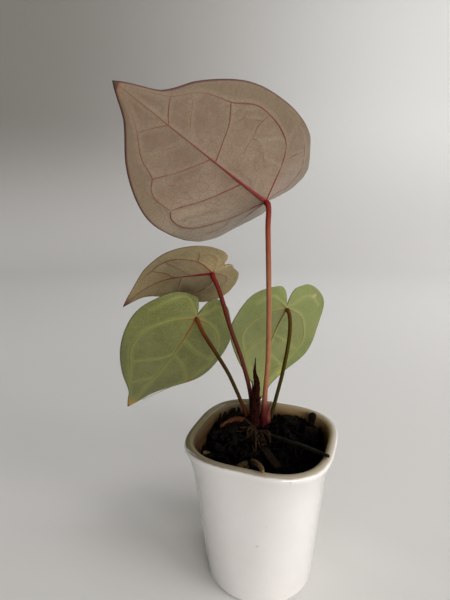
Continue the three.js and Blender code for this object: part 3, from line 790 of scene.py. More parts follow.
@dataclass(frozen=True)
class Blade:
    """A heart-shaped blade, bent as on the CAD part.

    Attributes:
        name: the leaf's name.
        length: from the stalk to the tip.
        attachment: where the stalk meets the blade.
        elevation: how far the upper side faces upwards, in degrees.
        azimuth: the way that the upper side faces, in degrees.
        heading: the way that the midrib sets out.
        arch: bend along the midrib.
        cup: bend across it.
        twist: twist along it.
        tip_curl: extra bend at the tip.
        lobe_lift: how far the lobes stand up behind the stalk.
        left: outline radii at OUTLINE_ANGLES, as shares of the length.
        right: the other half's.
        waves: waves of the edge.
        veins: the main veins.
        finish: its colours.
        slot: its material slot; not used.
        rim_wave: how high the edge's waves are.
        rim_ripple: how high its small ripples are.
        pucker: how high the soft bumps between the veins are.
        pucker_size: how wide they are.
        groove: how deep the veins sink into the upper side.
        groove_width: how wide those grooves are.
        vein_overlap: how far a raised vein's middle lies within the skin.
    """

    name: str
    length: float
    attachment: Point
    elevation: float
    azimuth: float
    heading: Point
    arch: float
    cup: float
    twist: float
    tip_curl: float
    lobe_lift: float
    left: tuple[float, ...]
    right: tuple[float, ...]
    waves: int
    veins: tuple[Vein, ...]
    finish: LeafFinish
    slot: Slot
    half_thickness: float = 0.33
    rim_wave: float = 0.7
    rim_ripple: float = 0.0
    pucker: float = 0.22
    pucker_size: float = 7.0
    groove: float = 0.26
    groove_width: float = 1.1
    vein_overlap: float = 0.12
    rings: int = 92
    sectors: int = 230

    def axes(self) -> tuple[Array, Array, Array]:
        """Gives the blade's normal, the midrib's way and the way across."""
        elevation = math.radians(self.elevation)
        azimuth = math.radians(self.azimuth)
        flat = math.cos(elevation)
        normal = np.array([flat * math.cos(azimuth), flat * math.sin(azimuth), math.sin(elevation)])
        along = np.array(self.heading) - normal * normal.dot(self.heading)
        along /= np.linalg.norm(along)
        return normal, along, np.cross(normal, along)

    def rise(self, u: Array, v: Array) -> Array:
        """Gives the height above the blade's plane, in shares of its length."""
        ahead = np.maximum(u, 0)
        lift = self.lobe_lift * (np.hypot(u, v) - u) / 2
        return lift - self.arch * ahead**2 - self.cup * v * v - self.twist * u * v - self.tip_curl * ahead**3

    def outline(self, degrees: Array) -> Array:
        """Gives the outline's radius, in shares of the length."""
        left = monotone_curve(OUTLINE_ANGLES, self.left)(np.abs(degrees))
        right = monotone_curve(OUTLINE_ANGLES, self.right)(np.abs(degrees))
        return np.where(degrees >= 0, left, right)

    def reach(self, u: Array, v: Array) -> Array:
        """Gives how far out spots lie, from 0 at the stalk to 1 on the outline."""
        return np.hypot(u, v) / self.outline(np.degrees(np.arctan2(v, u)))

    def surface(self, u: Array, v: Array) -> tuple[Array, Array]:
        """Gives points of the middle surface and the directions square to it, in millimetres."""
        normal, along, across = self.axes()
        angle = np.arctan2(v, u)
        share = self.reach(u, v)
        wave = self.rim_wave / self.length * share**4 * np.sin(self.waves * 2 * angle + self.length)
        wave += self.rim_ripple / self.length * share**10 * np.sin(21 * angle + 2 * np.sin(5 * angle))
        step = 0.004
        slope_u = (self.rise(u + step, v) - self.rise(u - step, v)) / (2 * step)
        slope_v = (self.rise(u, v + step) - self.rise(u, v - step)) / (2 * step)
        height = self.rise(u, v) + wave
        spots = u[:, None] * along + v[:, None] * across + height[:, None] * normal
        square = normal - slope_u[:, None] * along - slope_v[:, None] * across
        square /= np.linalg.norm(square, axis=1)[:, None]
        return np.array(self.attachment) + self.length * spots, square

    def vein_distance(self, u: Array, v: Array) -> Array:
        """Gives the distance to the nearest main vein, in millimetres."""
        spots = np.stack([u, v], axis=1)
        nearest = np.full(len(u), 1.0)
        for vein in self.veins:
            line = vein.line(10)
            for start, end in zip(line, line[1:]):
                run = end - start
                share = np.clip((spots - start) @ run / max(run @ run, 1e-9), 0, 1)
                gap = spots - start - share[:, None] * run
                nearest = np.minimum(nearest, np.hypot(gap[:, 0], gap[:, 1]))
        return nearest * self.length

    def outside(self, u: Array, v: Array) -> Array:
        """Gives 1 outside the collective veins and 0 within them."""
        near_stalk = 0.12
        spots = np.concatenate([vein.line(10) for vein in self.veins if vein.collective])
        spots = spots[np.hypot(spots[:, 0], spots[:, 1]) > near_stalk]
        turns = np.arctan2(spots[:, 1], spots[:, 0])
        order = np.argsort(turns)
        limits = self.reach(spots[:, 0], spots[:, 1])
        limit = np.interp(np.arctan2(v, u), turns[order], limits[order])
        return smooth_step(self.reach(u, v) - limit, -0.01, 0.05)

    def build(self) -> None:
        """Makes the blade as one closed skin, with its veins as ridges of their own."""
        bm = open_mesh("vein", "rim", "upper", "outside")
        flat_layer = bm.verts.layers.float_vector.new("flat")
        layers = {}

        def place(first: Array, second: Array) -> Array:
            """Runs over the underside to the edge and back over the upper side."""
            share = 1 - np.abs(1 - 2 * first)
            upper = np.where(first > 0.5, 1.0, -1.0)
            even = 2 * second - 1
            spread = 0.55 * np.abs(even) + 0.45 * crowd(np.abs(even))
            degrees = np.sign(even) * 180 * spread
            radius = share * self.outline(degrees)
            u = radius * np.cos(np.radians(degrees))
            v = radius * np.sin(np.radians(degrees))
            points, square = self.surface(u, v)
            distance = self.vein_distance(u, v)
            flat = np.stack([u * self.length, v * self.length, np.zeros(len(u))], axis=1)
            fade = 1 - smooth_step(share, 0.8, 1.0)
            soft = self.pucker * rough(flat, self.pucker_size, seed=self.length) * fade
            groove = self.groove * np.exp(-((distance / self.groove_width) ** 2)) * fade
            half = self.half_thickness * np.sqrt(np.clip(1 - smooth_step(share, 0.955, 1.0) ** 2, 0, 1))
            layers.update(vein=distance, rim=share, along=u, upper=upper, outside=self.outside(u, v))
            layers["flat"] = flat
            return points + square * (upper * half + soft - groove)[:, None]

        vertices, _ = add_grid(bm, 2 * self.rings, self.sectors, place)
        for vertex, spot in zip(vertices, layers.pop("flat")):
            vertex[flat_layer] = spot
        for name, values in layers.items():
            write_layer(bm, name, vertices, values)
        upper_layer = bm.verts.layers.float["upper"]
        for face in bm.faces:
            face.material_index = int(sum(vertex[upper_layer] for vertex in face.verts) > 0)
        skins = [self.finish.underside(self.name), self.finish.upper_side(self.name)]
        make_piece(f"{self.name}_lamina", bm, skins, [f"{self.name}_blade"])
        self.build_veins()

    def build_veins(self) -> None:
        """Makes the raised veins, half sunk into the underside."""
        bm = open_mesh()
        for vein in self.veins:
            u, v = vein.line(6).T
            points, square = self.surface(u, v)
            fade = 1 - smooth_step(self.reach(u, v), 0.8, 1.0)
            sunk = self.half_thickness - self.vein_overlap + self.groove * fade
            tint = partial(np.interp, xp=np.linspace(0, 1, len(u)), fp=np.hypot(u, v))
            centres = points - square * sunk[:, None]
            steps = max(24, 5 * len(vein.points))
            Tube(centres, vein.radius(), steps=steps, sides=10, tint=tint).add_to(bm)
        make_piece(f"{self.name}_veins", bm, [self.finish.veins(self.name)])


MIDRIB = ((0, 0), (0.1, 0), (0.35, 0.0), (0.7, 0.0), (0.965, 0.0))

LEAF_1_VEINS = (
    Vein(MIDRIB, 1.15, 0.16),
    Vein(
        ((0, 0), (0.05, 0.2), (0.1, 0.28), (0.18, 0.32), (0.29, 0.335), (0.39, 0.325), (0.5, 0.26)),
        0.5, 0.3, True,
    ),
    Vein(((0.5, 0.26), (0.65, 0.2), (0.76, 0.1), (0.84, 0.06), (0.93, 0.02)), 0.32, 0.12, True),
    Vein(((0.4, 0), (0.43, 0.09), (0.46, 0.18), (0.51, 0.255)), 0.34, 0.28),
    Vein(((0.7, 0), (0.735, 0.05), (0.76, 0.1)), 0.26, 0.22),
    Vein(
        ((0, 0), (-0.1, 0.07), (-0.18, 0.11), (-0.19, 0.17), (-0.18, 0.24), (-0.12, 0.29)),
        0.34, 0.26, True,
    ),
    Vein(
        ((-0.12, 0.29), (-0.06, 0.33), (0.01, 0.37), (0.1, 0.39), (0.15, 0.41), (0.21, 0.415)),
        0.26, 0.14, True,
    ),
    Vein(((0.04, 0.23), (0.0, 0.27), (-0.07, 0.32)), 0.17, 0.14),
    Vein(((-0.01, 0.17), (-0.08, 0.2), (-0.17, 0.24)), 0.15, 0.12),
    Vein(((0.13, 0.3), (0.12, 0.35), (0.1, 0.39)), 0.14, 0.1),
    Vein(((0.28, 0.05), (0.29, 0.1), (0.31, 0.15), (0.31, 0.2), (0.32, 0.26), (0.3, 0.33)), 0.14, 0.16),
    Vein(((0.31, 0.2), (0.25, 0.21), (0.21, 0.19), (0.18, 0.16), (0.13, 0.17), (0.06, 0.18)), 0.15, 0.1),
    Vein(((0.46, 0.16), (0.43, 0.21), (0.41, 0.24), (0.37, 0.27), (0.31, 0.29)), 0.12, 0.1),
    Vein(((0.41, 0.24), (0.42, 0.27), (0.39, 0.3), (0.36, 0.33)), 0.11, 0.09),
    Vein(((0.18, 0.16), (0.18, 0.11), (0.17, 0.06), (0.14, 0.02)), 0.12, 0.09),
    Vein(((0.26, 0.21), (0.21, 0.25), (0.14, 0.29)), 0.12, 0.09),
    Vein(((0.68, 0.17), (0.65, 0.12), (0.62, 0.07), (0.57, 0.01)), 0.11, 0.1),
    Vein(((0.31, -0.35), (0.3, -0.31), (0.25, -0.26), (0.17, -0.18)), 0.11, 0.09),
    Vein(((0.55, -0.24), (0.45, -0.16), (0.41, -0.09)), 0.11, 0.09),
    Vein(((0.69, -0.16), (0.65, -0.1), (0.6, -0.03)), 0.11, 0.09),
    Vein(((0, 0), (0.05, -0.2), (0.19, -0.36), (0.29, -0.39), (0.39, -0.37), (0.43, -0.33)), 0.42, 0.3, True),
    Vein(
        ((0.43, -0.33), (0.55, -0.315), (0.6, -0.28), (0.62, -0.24), (0.72, -0.19), (0.8, -0.11)),
        0.3, 0.24, True,
    ),
    Vein(((0.8, -0.11), (0.86, -0.06), (0.94, -0.015)), 0.22, 0.12, True),
    Vein(((0.2, 0), (0.31, -0.19), (0.43, -0.33)), 0.36, 0.28),
    Vein(((0.43, 0), (0.52, -0.13), (0.62, -0.24)), 0.32, 0.25),
    Vein(((0.7, 0), (0.76, -0.06), (0.8, -0.11)), 0.24, 0.2),
    Vein(((0, 0), (-0.06, -0.16), (-0.1, -0.27), (-0.02, -0.36)), 0.34),
    Vein(((0.05, -0.2), (0.0, -0.3), (0.06, -0.38)), 0.2, 0.14),
)
LEAF_2_VEINS = (
    Vein(MIDRIB, 1.0, 0.14),
    Vein(
        ((0, 0), (0.07, 0.2), (0.14, 0.26), (0.22, 0.3), (0.32, 0.3), (0.46, 0.26), (0.58, 0.19)),
        0.44, 0.26, True,
    ),
    Vein(((0.58, 0.19), (0.68, 0.15), (0.76, 0.1), (0.9, 0.03)), 0.26, 0.12, True),
    Vein(((0.07, 0.2), (0.03, 0.26), (0, 0.32)), 0.26),
    Vein(((0, 0), (-0.08, 0.1), (-0.1, 0.17), (-0.07, 0.25)), 0.36, 0.12, True),
    Vein(((0, 0), (-0.1, -0.03), (-0.12, 0.04)), 0.3),
    Vein(((0, 0), (-0.05, -0.12), (-0.06, -0.2), (-0.02, -0.27)), 0.34, 0.12, True),
    Vein(
        ((0, 0), (0.03, -0.05), (0.09, -0.17), (0.2, -0.25), (0.35, -0.29), (0.52, -0.24)),
        0.44, 0.24, True,
    ),
    Vein(((0.52, -0.24), (0.68, -0.16), (0.86, -0.05)), 0.24, 0.12, True),
    Vein(((0.42, 0), (0.48, 0.09), (0.58, 0.18)), 0.28, 0.2),
    Vein(((0.24, 0), (0.3, 0.13), (0.38, 0.28)), 0.26, 0.18),
    Vein(((0.34, 0), (0.42, -0.1), (0.52, -0.23)), 0.28, 0.2),
)
LEAF_3_VEINS = (
    Vein(MIDRIB, 0.85, 0.14),
    Vein(
        ((0, 0), (0.06, 0.16), (0.12, 0.24), (0.2, 0.31), (0.3, 0.335), (0.43, 0.3), (0.51, 0.25)),
        0.42, 0.3, True,
    ),
    Vein(((0.51, 0.25), (0.59, 0.21), (0.71, 0.15), (0.84, 0.08), (0.94, 0.02)), 0.28, 0.12, True),
    Vein(((0.34, 0), (0.41, 0.08), (0.45, 0.16), (0.51, 0.245)), 0.3, 0.24),
    Vein(
        ((0, 0), (0.02, -0.13), (0.07, -0.24), (0.14, -0.3), (0.23, -0.35), (0.33, -0.35), (0.42, -0.33)),
        0.42, 0.3, True,
    ),
    Vein(((0.42, -0.33), (0.5, -0.3), (0.57, -0.26), (0.72, -0.17), (0.88, -0.06)), 0.28, 0.12, True),
    Vein(((0.34, 0), (0.42, -0.12), (0.5, -0.21), (0.57, -0.26)), 0.3, 0.22),
    Vein(((0.2, 0), (0.28, -0.18), (0.32, -0.34)), 0.22, 0.16),
    Vein(((0, 0), (-0.07, 0.07), (-0.12, 0.14), (-0.06, 0.26), (0.04, 0.35)), 0.3),
    Vein(((0, 0), (-0.06, -0.08), (-0.12, -0.16), (-0.05, -0.28)), 0.3),
    Vein(((0.6, 0), (0.66, 0.08), (0.72, 0.14)), 0.2, 0.14),
)
LEAF_4_VEINS = (
    Vein(MIDRIB, 0.8, 0.14),
    Vein(
        ((0, 0), (0.04, 0.09), (0.09, 0.19), (0.19, 0.26), (0.28, 0.3), (0.38, 0.3), (0.48, 0.27)),
        0.4, 0.28, True,
    ),
    Vein(((0.48, 0.27), (0.58, 0.22), (0.72, 0.15), (0.9, 0.04)), 0.28, 0.12, True),
    Vein(((0.34, 0), (0.4, 0.09), (0.47, 0.16), (0.56, 0.22)), 0.28, 0.22),
    Vein(
        ((0, 0), (0.08, -0.15), (0.13, -0.21), (0.23, -0.27), (0.33, -0.305), (0.41, -0.31), (0.5, -0.27)),
        0.4, 0.28, True,
    ),
    Vein(((0.5, -0.27), (0.66, -0.19), (0.88, -0.05)), 0.26, 0.12, True),
    Vein(((0.34, 0), (0.42, -0.14), (0.5, -0.265)), 0.26, 0.2),
    Vein(((0, 0), (-0.03, -0.08), (-0.07, -0.16), (-0.06, -0.26), (0.02, -0.35)), 0.32),
    Vein(((0, 0), (-0.06, 0.08), (-0.1, 0.16), (-0.03, 0.28)), 0.32),
    Vein(((0.56, 0), (0.63, -0.1), (0.68, -0.17)), 0.2, 0.14),
)

BLADES = (
    Blade(
        name="leaf_1",
        length=90.3,
        attachment=(-10, 31.1, 184.1),
        elevation=33.4,
        azimuth=133.1,
        heading=(-0.42, -0.79, 0.44),
        arch=-0.18,
        cup=0.2,
        twist=-0.36,
        tip_curl=0.09,
        lobe_lift=0.84,
        left=(1, 0.81, 0.73, 0.63, 0.5, 0.41, 0.37, 0.38, 0.36, 0.03),
        right=(1, 0.88, 0.81, 0.7, 0.55, 0.46, 0.4, 0.37, 0.34, 0.03),
        waves=3,
        rim_ripple=0.13,
        veins=LEAF_1_VEINS,
        finish=BRONZE,
        slot=Slot.BRONZE_LEAF,
    ),
    Blade(
        name="leaf_2",
        length=52.7,
        attachment=(-33.8, 20.2, 148),
        elevation=49.3,
        azimuth=104.8,
        heading=(-0.98, -0.01, -0.21),
        arch=-0.37,
        cup=0.52,
        twist=-0.23,
        tip_curl=0.63,
        lobe_lift=0.55,
        left=(1, 0.84, 0.71, 0.59, 0.51, 0.43, 0.32, 0.23, 0.18, 0.09),
        right=(1, 0.82, 0.71, 0.6, 0.52, 0.44, 0.32, 0.21, 0.18, 0.1),
        waves=2,
        veins=LEAF_2_VEINS,
        finish=DARK_BRONZE,
        slot=Slot.BRONZE_LEAF,
    ),
    Blade(
        name="leaf_3",
        length=72.6,
        attachment=(-41.9, 16.1, 123.9),
        elevation=16.2,
        azimuth=139.8,
        heading=(-0.44, -0.13, -0.89),
        arch=-0.4,
        cup=-0.05,
        twist=-0.2,
        tip_curl=0.15,
        lobe_lift=0.14,
        left=(1, 0.82, 0.71, 0.6, 0.51, 0.4, 0.27, 0.19, 0.14, 0.02),
        right=(1, 0.8, 0.7, 0.62, 0.51, 0.37, 0.28, 0.21, 0.14, 0.02),
        waves=4,
        veins=LEAF_3_VEINS,
        finish=GREEN,
        slot=Slot.GREEN_LEAF,
    ),
    Blade(
        name="leaf_4",
        length=65.7,
        attachment=(-1.8, 53.6, 124.1),
        elevation=35.4,
        azimuth=130.9,
        heading=(-0.43, 0.39, -0.81),
        arch=0.09,
        cup=0.28,
        twist=-0.31,
        tip_curl=0.23,
        lobe_lift=0.46,
        left=(1, 0.87, 0.75, 0.62, 0.51, 0.41, 0.31, 0.24, 0.17, 0.01),
        right=(1, 0.86, 0.75, 0.65, 0.5, 0.42, 0.31, 0.22, 0.18, 0.01),
        waves=3,
        veins=LEAF_4_VEINS,
        finish=LIGHT_GREEN,
        slot=Slot.GREEN_LEAF,
    ),
)


@dataclass(frozen=True)
class Stalk:
    """A leaf stalk, flared at its foot and bent to meet its blade squarely.

    Attributes:
        points: from the crown up to just below the blade.
        radii: at the foot, above the flare and at the top.
        stops: colours at shares of its length, darkest at the foot: partly the stalk's own colour and partly
            painted shade down by the mix.
        slot: the record's slot.
        flare: how far up the foot is flared, as a share.
        neck: how far below the blade it bends to meet it.
        collar: how much it swells where it meets the blade, as a share.
        tuck: how far below the blade's middle surface it ends.
        rib: how high its faint ribs are, as a share of its radius.
    """

    points: Line
    radii: tuple[float, float, float]
    stops: tuple[tuple[float, Colour], ...]
    slot: Slot
    flare: float = 0.2
    neck: float = 4.4
    collar: float = 0.16
    tuck: float = 0.35
    rib: float = 0.012

    def build(self, blade: Blade) -> None:
        """Makes the stalk up to its blade."""
        normal = blade.axes()[0]
        origin = np.array(blade.attachment)
        path = [*self.points, origin - self.neck * normal, origin - self.tuck * normal]
        foot, middle, top = self.radii
        width = monotone_curve([0, self.flare, 0.85, 1], [foot, middle, top, top])

        def radius(share: Array) -> Array:
            """Swells the stalk a little where it meets the blade."""
            return width(share) * (1 + self.collar * smooth_step(share, 0.955, 0.99))

        def relief(distance: Array, angle: Array) -> Array:
            """Raises faint ribs along the stalk."""
            ribs = self.rib * np.cos(5 * angle + 0.02 * distance)
            return ribs + self.rib * np.sin(0.21 * distance + angle)

        bm = open_mesh()
        Tube(path, radius, steps=130, sides=28, relief=relief).add_to(bm)
        make_piece(f"{blade.name}_petiole", bm, [self.skin(blade.name)], [f"{blade.name}_stalk"])

    def skin(self, name: str) -> Material:
        """Makes the satin skin, whose colour runs up the stalk with fine streaks and flecks."""
        skin = Finish(f"{name}_stalk_skin", specular_ior_level=0.05)
        place = skin.place()
        streak = skin.fibre(place, width=0.5, stretch=14.0)
        wander = skin.mottle(place, size=5.0, edge=0.25)[1]
        shifted = skin.plus(skin.layer("along"), skin.times(wander, 0.05))
        # The ramp runs darkest at the foot: partly the stalk's own colour, partly painted shade near the mix.
        colour = skin.ramp(skin.less(shifted, 0.025), self.stops)
        darker = skin.mix(1.0, colour, (200, 184, 176), "MULTIPLY")
        colour = skin.mix(skin.times(streak, 0.5), colour, darker)
        fleck = skin.mottle(place, size=0.9, edge=0.06)[0]
        pale = skin.mix(1.0, colour, (90, 80, 70), "ADD")
        colour = skin.mix(skin.times(fleck, 0.04), colour, pale)
        return skin.finish(colour, roughness=0.52, height=streak, depth=0.04)


STALKS = (
    Stalk(
        points=(
            (-4.4, 18.2, 63), (-4.4, 18.6, 71), (-4.5, 20, 82),
            (-4.1, 23.1, 105), (-5.3, 26.3, 134.5), (-7.5, 29, 171),
        ),
        radii=(2.2, 1.3, 1.35),
        stops=(
            (0.0, (34, 4, 8)),
            (0.06, (60, 8, 14)),
            (0.11, (94, 38, 34)),
            (0.18, (158, 102, 78)),
            (0.3, (164, 114, 80)),
            (0.62, (158, 106, 76)),
            (0.86, (146, 74, 56)),
            (1.0, (122, 32, 34)),
        ),
        slot=Slot.RED_STALK,
    ),
    Stalk(
        neck=1.8,
        points=(
            (-11.8, 22.6, 63), (-12.1, 22.8, 72), (-13.7, 23.1, 84.7),
            (-18.3, 22.7, 101.4), (-24.2, 21.7, 118), (-31, 20.5, 140),
        ),
        radii=(1.5, 1.15, 1.2),
        stops=(
            (0.0, (46, 14, 14)),
            (0.3, (92, 46, 38)),
            (0.6, (88, 42, 32)),
            (0.85, (96, 38, 30)),
            (1.0, (110, 28, 26)),
        ),
        slot=Slot.RED_STALK,
    ),
    Stalk(
        neck=1.8,
        points=(
            (-13.6, 19.4, 63), (-14.2, 19.6, 71.5), (-17.9, 20, 79.6),
            (-24.2, 19.2, 93.4), (-30.8, 17.9, 104.6), (-37.8, 15.9, 116.5),
        ),
        radii=(1.4, 1, 1.05),
        flare=0.3,
        stops=(
            (0.0, (74, 26, 20)),
            (0.22, (76, 40, 18)),
            (0.34, (58, 44, 8)),
            (0.62, (58, 38, 5)),
            (0.82, (76, 38, 8)),
            (1.0, (108, 56, 22)),
        ),
        slot=Slot.OLIVE_STALK,
    ),
    Stalk(
        points=((-2.8, 24.2, 63), (-1.9, 25.4, 70.5), (-0.8, 29.3, 78.3), (1.1, 38, 93), (1.9, 48, 112)),
        radii=(1.4, 1, 1.1),
        stops=(
            (0.0, (50, 24, 16)),
            (0.16, (50, 43, 7)),
            (0.5, (60, 52, 5)),
            (0.85, (72, 57, 4)),
            (0.93, (84, 54, 20)),
            (1.0, (96, 64, 30)),
        ),
        slot=Slot.OLIVE_STALK,
    ),
)


# The pot


def rounded_square(angle: Array, half: Array, exponent: Array) -> tuple[Array, Array]:
    """Gives the X and Y of a rounded square at angles round it."""
    spread = np.abs(np.cos(angle)) ** exponent + np.abs(np.sin(angle)) ** exponent
    radius = half / spread ** (1 / exponent)
    return radius * np.cos(angle), radius * np.sin(angle)


POT_SPECKS = (
    ((-6.5, -32.0, 58.3), 0.9),
    ((14.5, -30.7, 58.0), 0.9),
    ((14.7, -30.0, 53.6), 0.7),
    ((20.5, -32.3, 73.0), 0.8),
    ((6.2, -29.2, 35.5), 0.9),
    ((10.3, -30.1, 47.3), 0.6),
)


@dataclass(frozen=True)
class Pot:
    """The glossy rounded-square pot."""

    height: float = 75
    rim_half: float = 35
    rim_exponent: float = 3
    lip_thickness: float = 4.4
    lip_depth: float = 6
    neck_half: float = 32.3
    flare_from: float = 56
    foot_half: float = 26.5
    foot_exponent: float = 2
    foot_radius: float = 2
    wall: float = 2.8
    floor: float = 3
    drain_radius: float = 2.6
    drain_offset: float = 13
    drains: int = 4
    outer_rows: int = 24
    inner_rows: int = 14
    sectors: int = 224

    def exponent(self, z: Array) -> Array:
        """Gives how square the pot is at a height."""
        share = np.clip(z, 0, None) / self.height
        return self.foot_exponent + share * (self.rim_exponent - self.foot_exponent)

    def outer_half(self, z: Array) -> Array:
        """Gives the outside's half width at a height of the straight wall."""
        share = (z - self.foot_radius) / (self.height - self.lip_depth - self.foot_radius)
        return self.foot_half + share * (self.neck_half - self.foot_half)

    def inner_half(self, z: Array) -> Array:
        """Gives the inside's half width at a height of the wall."""
        at_floor = self.outer_half(self.foot_radius) - self.wall
        share = (z - self.floor) / (self.height - self.lip_depth - self.floor)
        return at_floor + share * (self.rim_half - self.lip_thickness - at_floor)

    def stations(self) -> tuple[Array, Array, Array]:
        """Gives half widths and heights from the foot's middle, round the lip, to the floor's middle.

        Returns:
            Half widths, heights, and how far each station is inside the lip: 0 outside to 1 inside.
        """
        flat = self.foot_half - self.foot_radius
        neck = self.height - self.lip_depth
        lip = self.lip_thickness / 2
        rows = [(0.0, 0.0, 0.0), (0.5 * flat, 0.0, 0.0), (0.97 * flat, 0.0, 0.0)]
        for degrees in range(0, 91, 9):
            turn = math.radians(degrees)
            radius = self.foot_radius
            rows.append((flat + radius * math.sin(turn), radius * (1 - math.cos(turn)), 0.0))
        under_lip = self.height - lip
        spread = self.rim_half - float(self.outer_half(under_lip))
        for share in np.linspace(0.05, 0.98, self.outer_rows):
            z = self.foot_radius + share * (under_lip - self.foot_radius)
            flare = spread * np.clip((z - self.flare_from) / (under_lip - self.flare_from), 0, 1) ** 2
            rows.append((float(self.outer_half(z)) + float(flare), z, 0.0))
        for degrees in range(0, 161, 10):
            turn = math.radians(degrees)
            centre = self.rim_half - lip
            rows.append((centre + lip * math.cos(turn), under_lip + lip * math.sin(turn), degrees / 180))
        for share in np.linspace(0.0, 1.0, self.inner_rows):
            z = neck + share * (self.floor - neck)
            rows.append((float(self.inner_half(z)), z, 1.0))
        rows.append((0.9 * float(self.inner_half(self.floor)), self.floor, 1.0))
        rows.append((0.0, self.floor, 1.0))
        halves, heights, insides = np.array(rows).T
        return halves, heights, insides

    def build(self) -> None:
        """Makes the pot as one closed skin, then opens its drains."""
        halves, heights, insides = self.stations()
        last = len(halves) - 1
        bm = open_mesh("inside")

        def place(first: Array, second: Array) -> Array:
            """Turns the stations round, each on its own rounded square."""
            row = np.rint(first * last).astype(int)
            angle = TURN * second
            z = heights[row]
            x, y = rounded_square(angle, halves[row], self.exponent(z))
            waver = 0.07 * np.sin(3 * angle + 0.6) + 0.05 * np.sin(7 * angle)
            return np.stack([x, y, z + waver * smooth_step(z, 60, 75)], axis=1)

        vertices, shares = add_grid(bm, last, self.sectors, place)
        row = np.rint(shares[:, 0] * last).astype(int)
        write_layer(bm, "inside", vertices, insides[row])
        self._open_drains(make_piece("glazed_pot", bm, [self.glaze()], ["pot"]))

    def _open_drains(self, pot: bpy.types.Object) -> None:
        """Cuts the round drains through the pot's floor."""
        bm = bmesh.new()
        size = {"radius1": self.drain_radius, "radius2": self.drain_radius, "depth": 4 * self.floor}
        for k in range(self.drains):
            angle = TURN * (k + 0.5) / self.drains
            x = self.drain_offset * math.cos(angle)
            y = self.drain_offset * math.sin(angle)
            place = Matrix.Translation((x, y, 0))
            bmesh.ops.create_cone(bm, cap_ends=True, segments=40, matrix=place, **size)
        cutter = add_object("drain_cutters", new_mesh("drain_cutters", bm))
        modifier = pot.modifiers.new("drains", "BOOLEAN")
        modifier.operation = "DIFFERENCE"
        modifier.solver = "EXACT"
        modifier.object = cutter
        shape = pot.evaluated_get(bpy.context.evaluated_depsgraph_get())
        opened = bpy.data.meshes.new_from_object(shape)
        pot.modifiers.clear()
        pot.data = opened
        bpy.data.objects.remove(cutter)

    def glaze(self) -> Material:
        """Makes the warm white gloss, with its stained lip, dirty inside and brown specks, painted lighter on
        the right and darker on the left as light and shade.
        """
        skin = Finish("pot_gloss", specular_ior_level=0.5, coat_weight=0.5, coat_roughness=0.03)
        place = skin.place()
        axes = skin.axes(place)
        inside = skin.layer("inside")
        haze, waver = skin.mottle(place, size=18.0, edge=0.3)
        smear = skin.mottle(place, size=3.5, edge=0.25)[1]
        ragged = skin.plus(inside, skin.times(smear, 0.12))
        # Painted light and shade: the lip, the inside wall and its soil line are lighter to the right and
        # darker to the left.
        painted_shade_left = skin.fall(axes["X"], -38.0, 40.0)
        lip = skin.mix(painted_shade_left, (178, 165, 144), (104, 94, 72))
        hollow = skin.mix(painted_shade_left, (176, 146, 98), (78, 68, 46))
        soil = skin.mix(painted_shade_left, (112, 82, 44), (34, 24, 14))
        colour = skin.mix(haze, (233, 230, 227), (229, 225, 221))
        colour = skin.mix(skin.rise(ragged, 0.21, 0.37), colour, lip)
        colour = skin.mix(skin.rise(ragged, 0.6, 0.85, 0.8), colour, hollow)
        wall = skin.rise(inside, 0.85, 0.95)
        colour = skin.mix(skin.times(wall, 0.85), colour, hollow)
        dirt = skin.times(wall, skin.fall(skin.plus(axes["Z"], skin.times(smear, 5.0)), 66.0, 79.0))
        colour = skin.mix(dirt, colour, soil)
        rust = skin.times(dirt, skin.mottle(place, size=2.2, edge=0.08)[0])
        colour = skin.mix(skin.times(rust, 0.6), colour, (112, 68, 26))
        for centre, radius in POT_SPECKS:
            speck = skin.times(skin.spot(place, centre, radius), 0.35)
            colour = skin.mix(speck, colour, (176, 138, 106))
        roughness = skin.plus(0.05, skin.rise(ragged, 0.3, 0.9, 0.42))
        return skin.finish(colour, roughness, height=waver, depth=0.03)


# The potting mix and what lies in it


CHIP_CORNERS = (
    (1, 1, 1), (1, 1, -1), (1, -1, 1), (1, -1, -1),
    (-1, 1, -1), (-1, 1, 1), (-1, -1, -1), (-1, -1, 1),
)
CHIP_JITTER = (0.35, 0.35, 0.18)


@cache
def cut_cube(cuts: int) -> bpy.types.Mesh:
    """Gives a cube from -1 to 1 with each edge cut a number of times."""
    bm = bmesh.new()
    bmesh.ops.create_cube(bm, size=2.0)
    bmesh.ops.subdivide_edges(bm, edges=bm.edges[:], cuts=cuts, use_grid_fill=True)
    mesh = bpy.data.meshes.new(f"cube_cut_{cuts}")
    bm.to_mesh(mesh)
    bm.free()
    return mesh


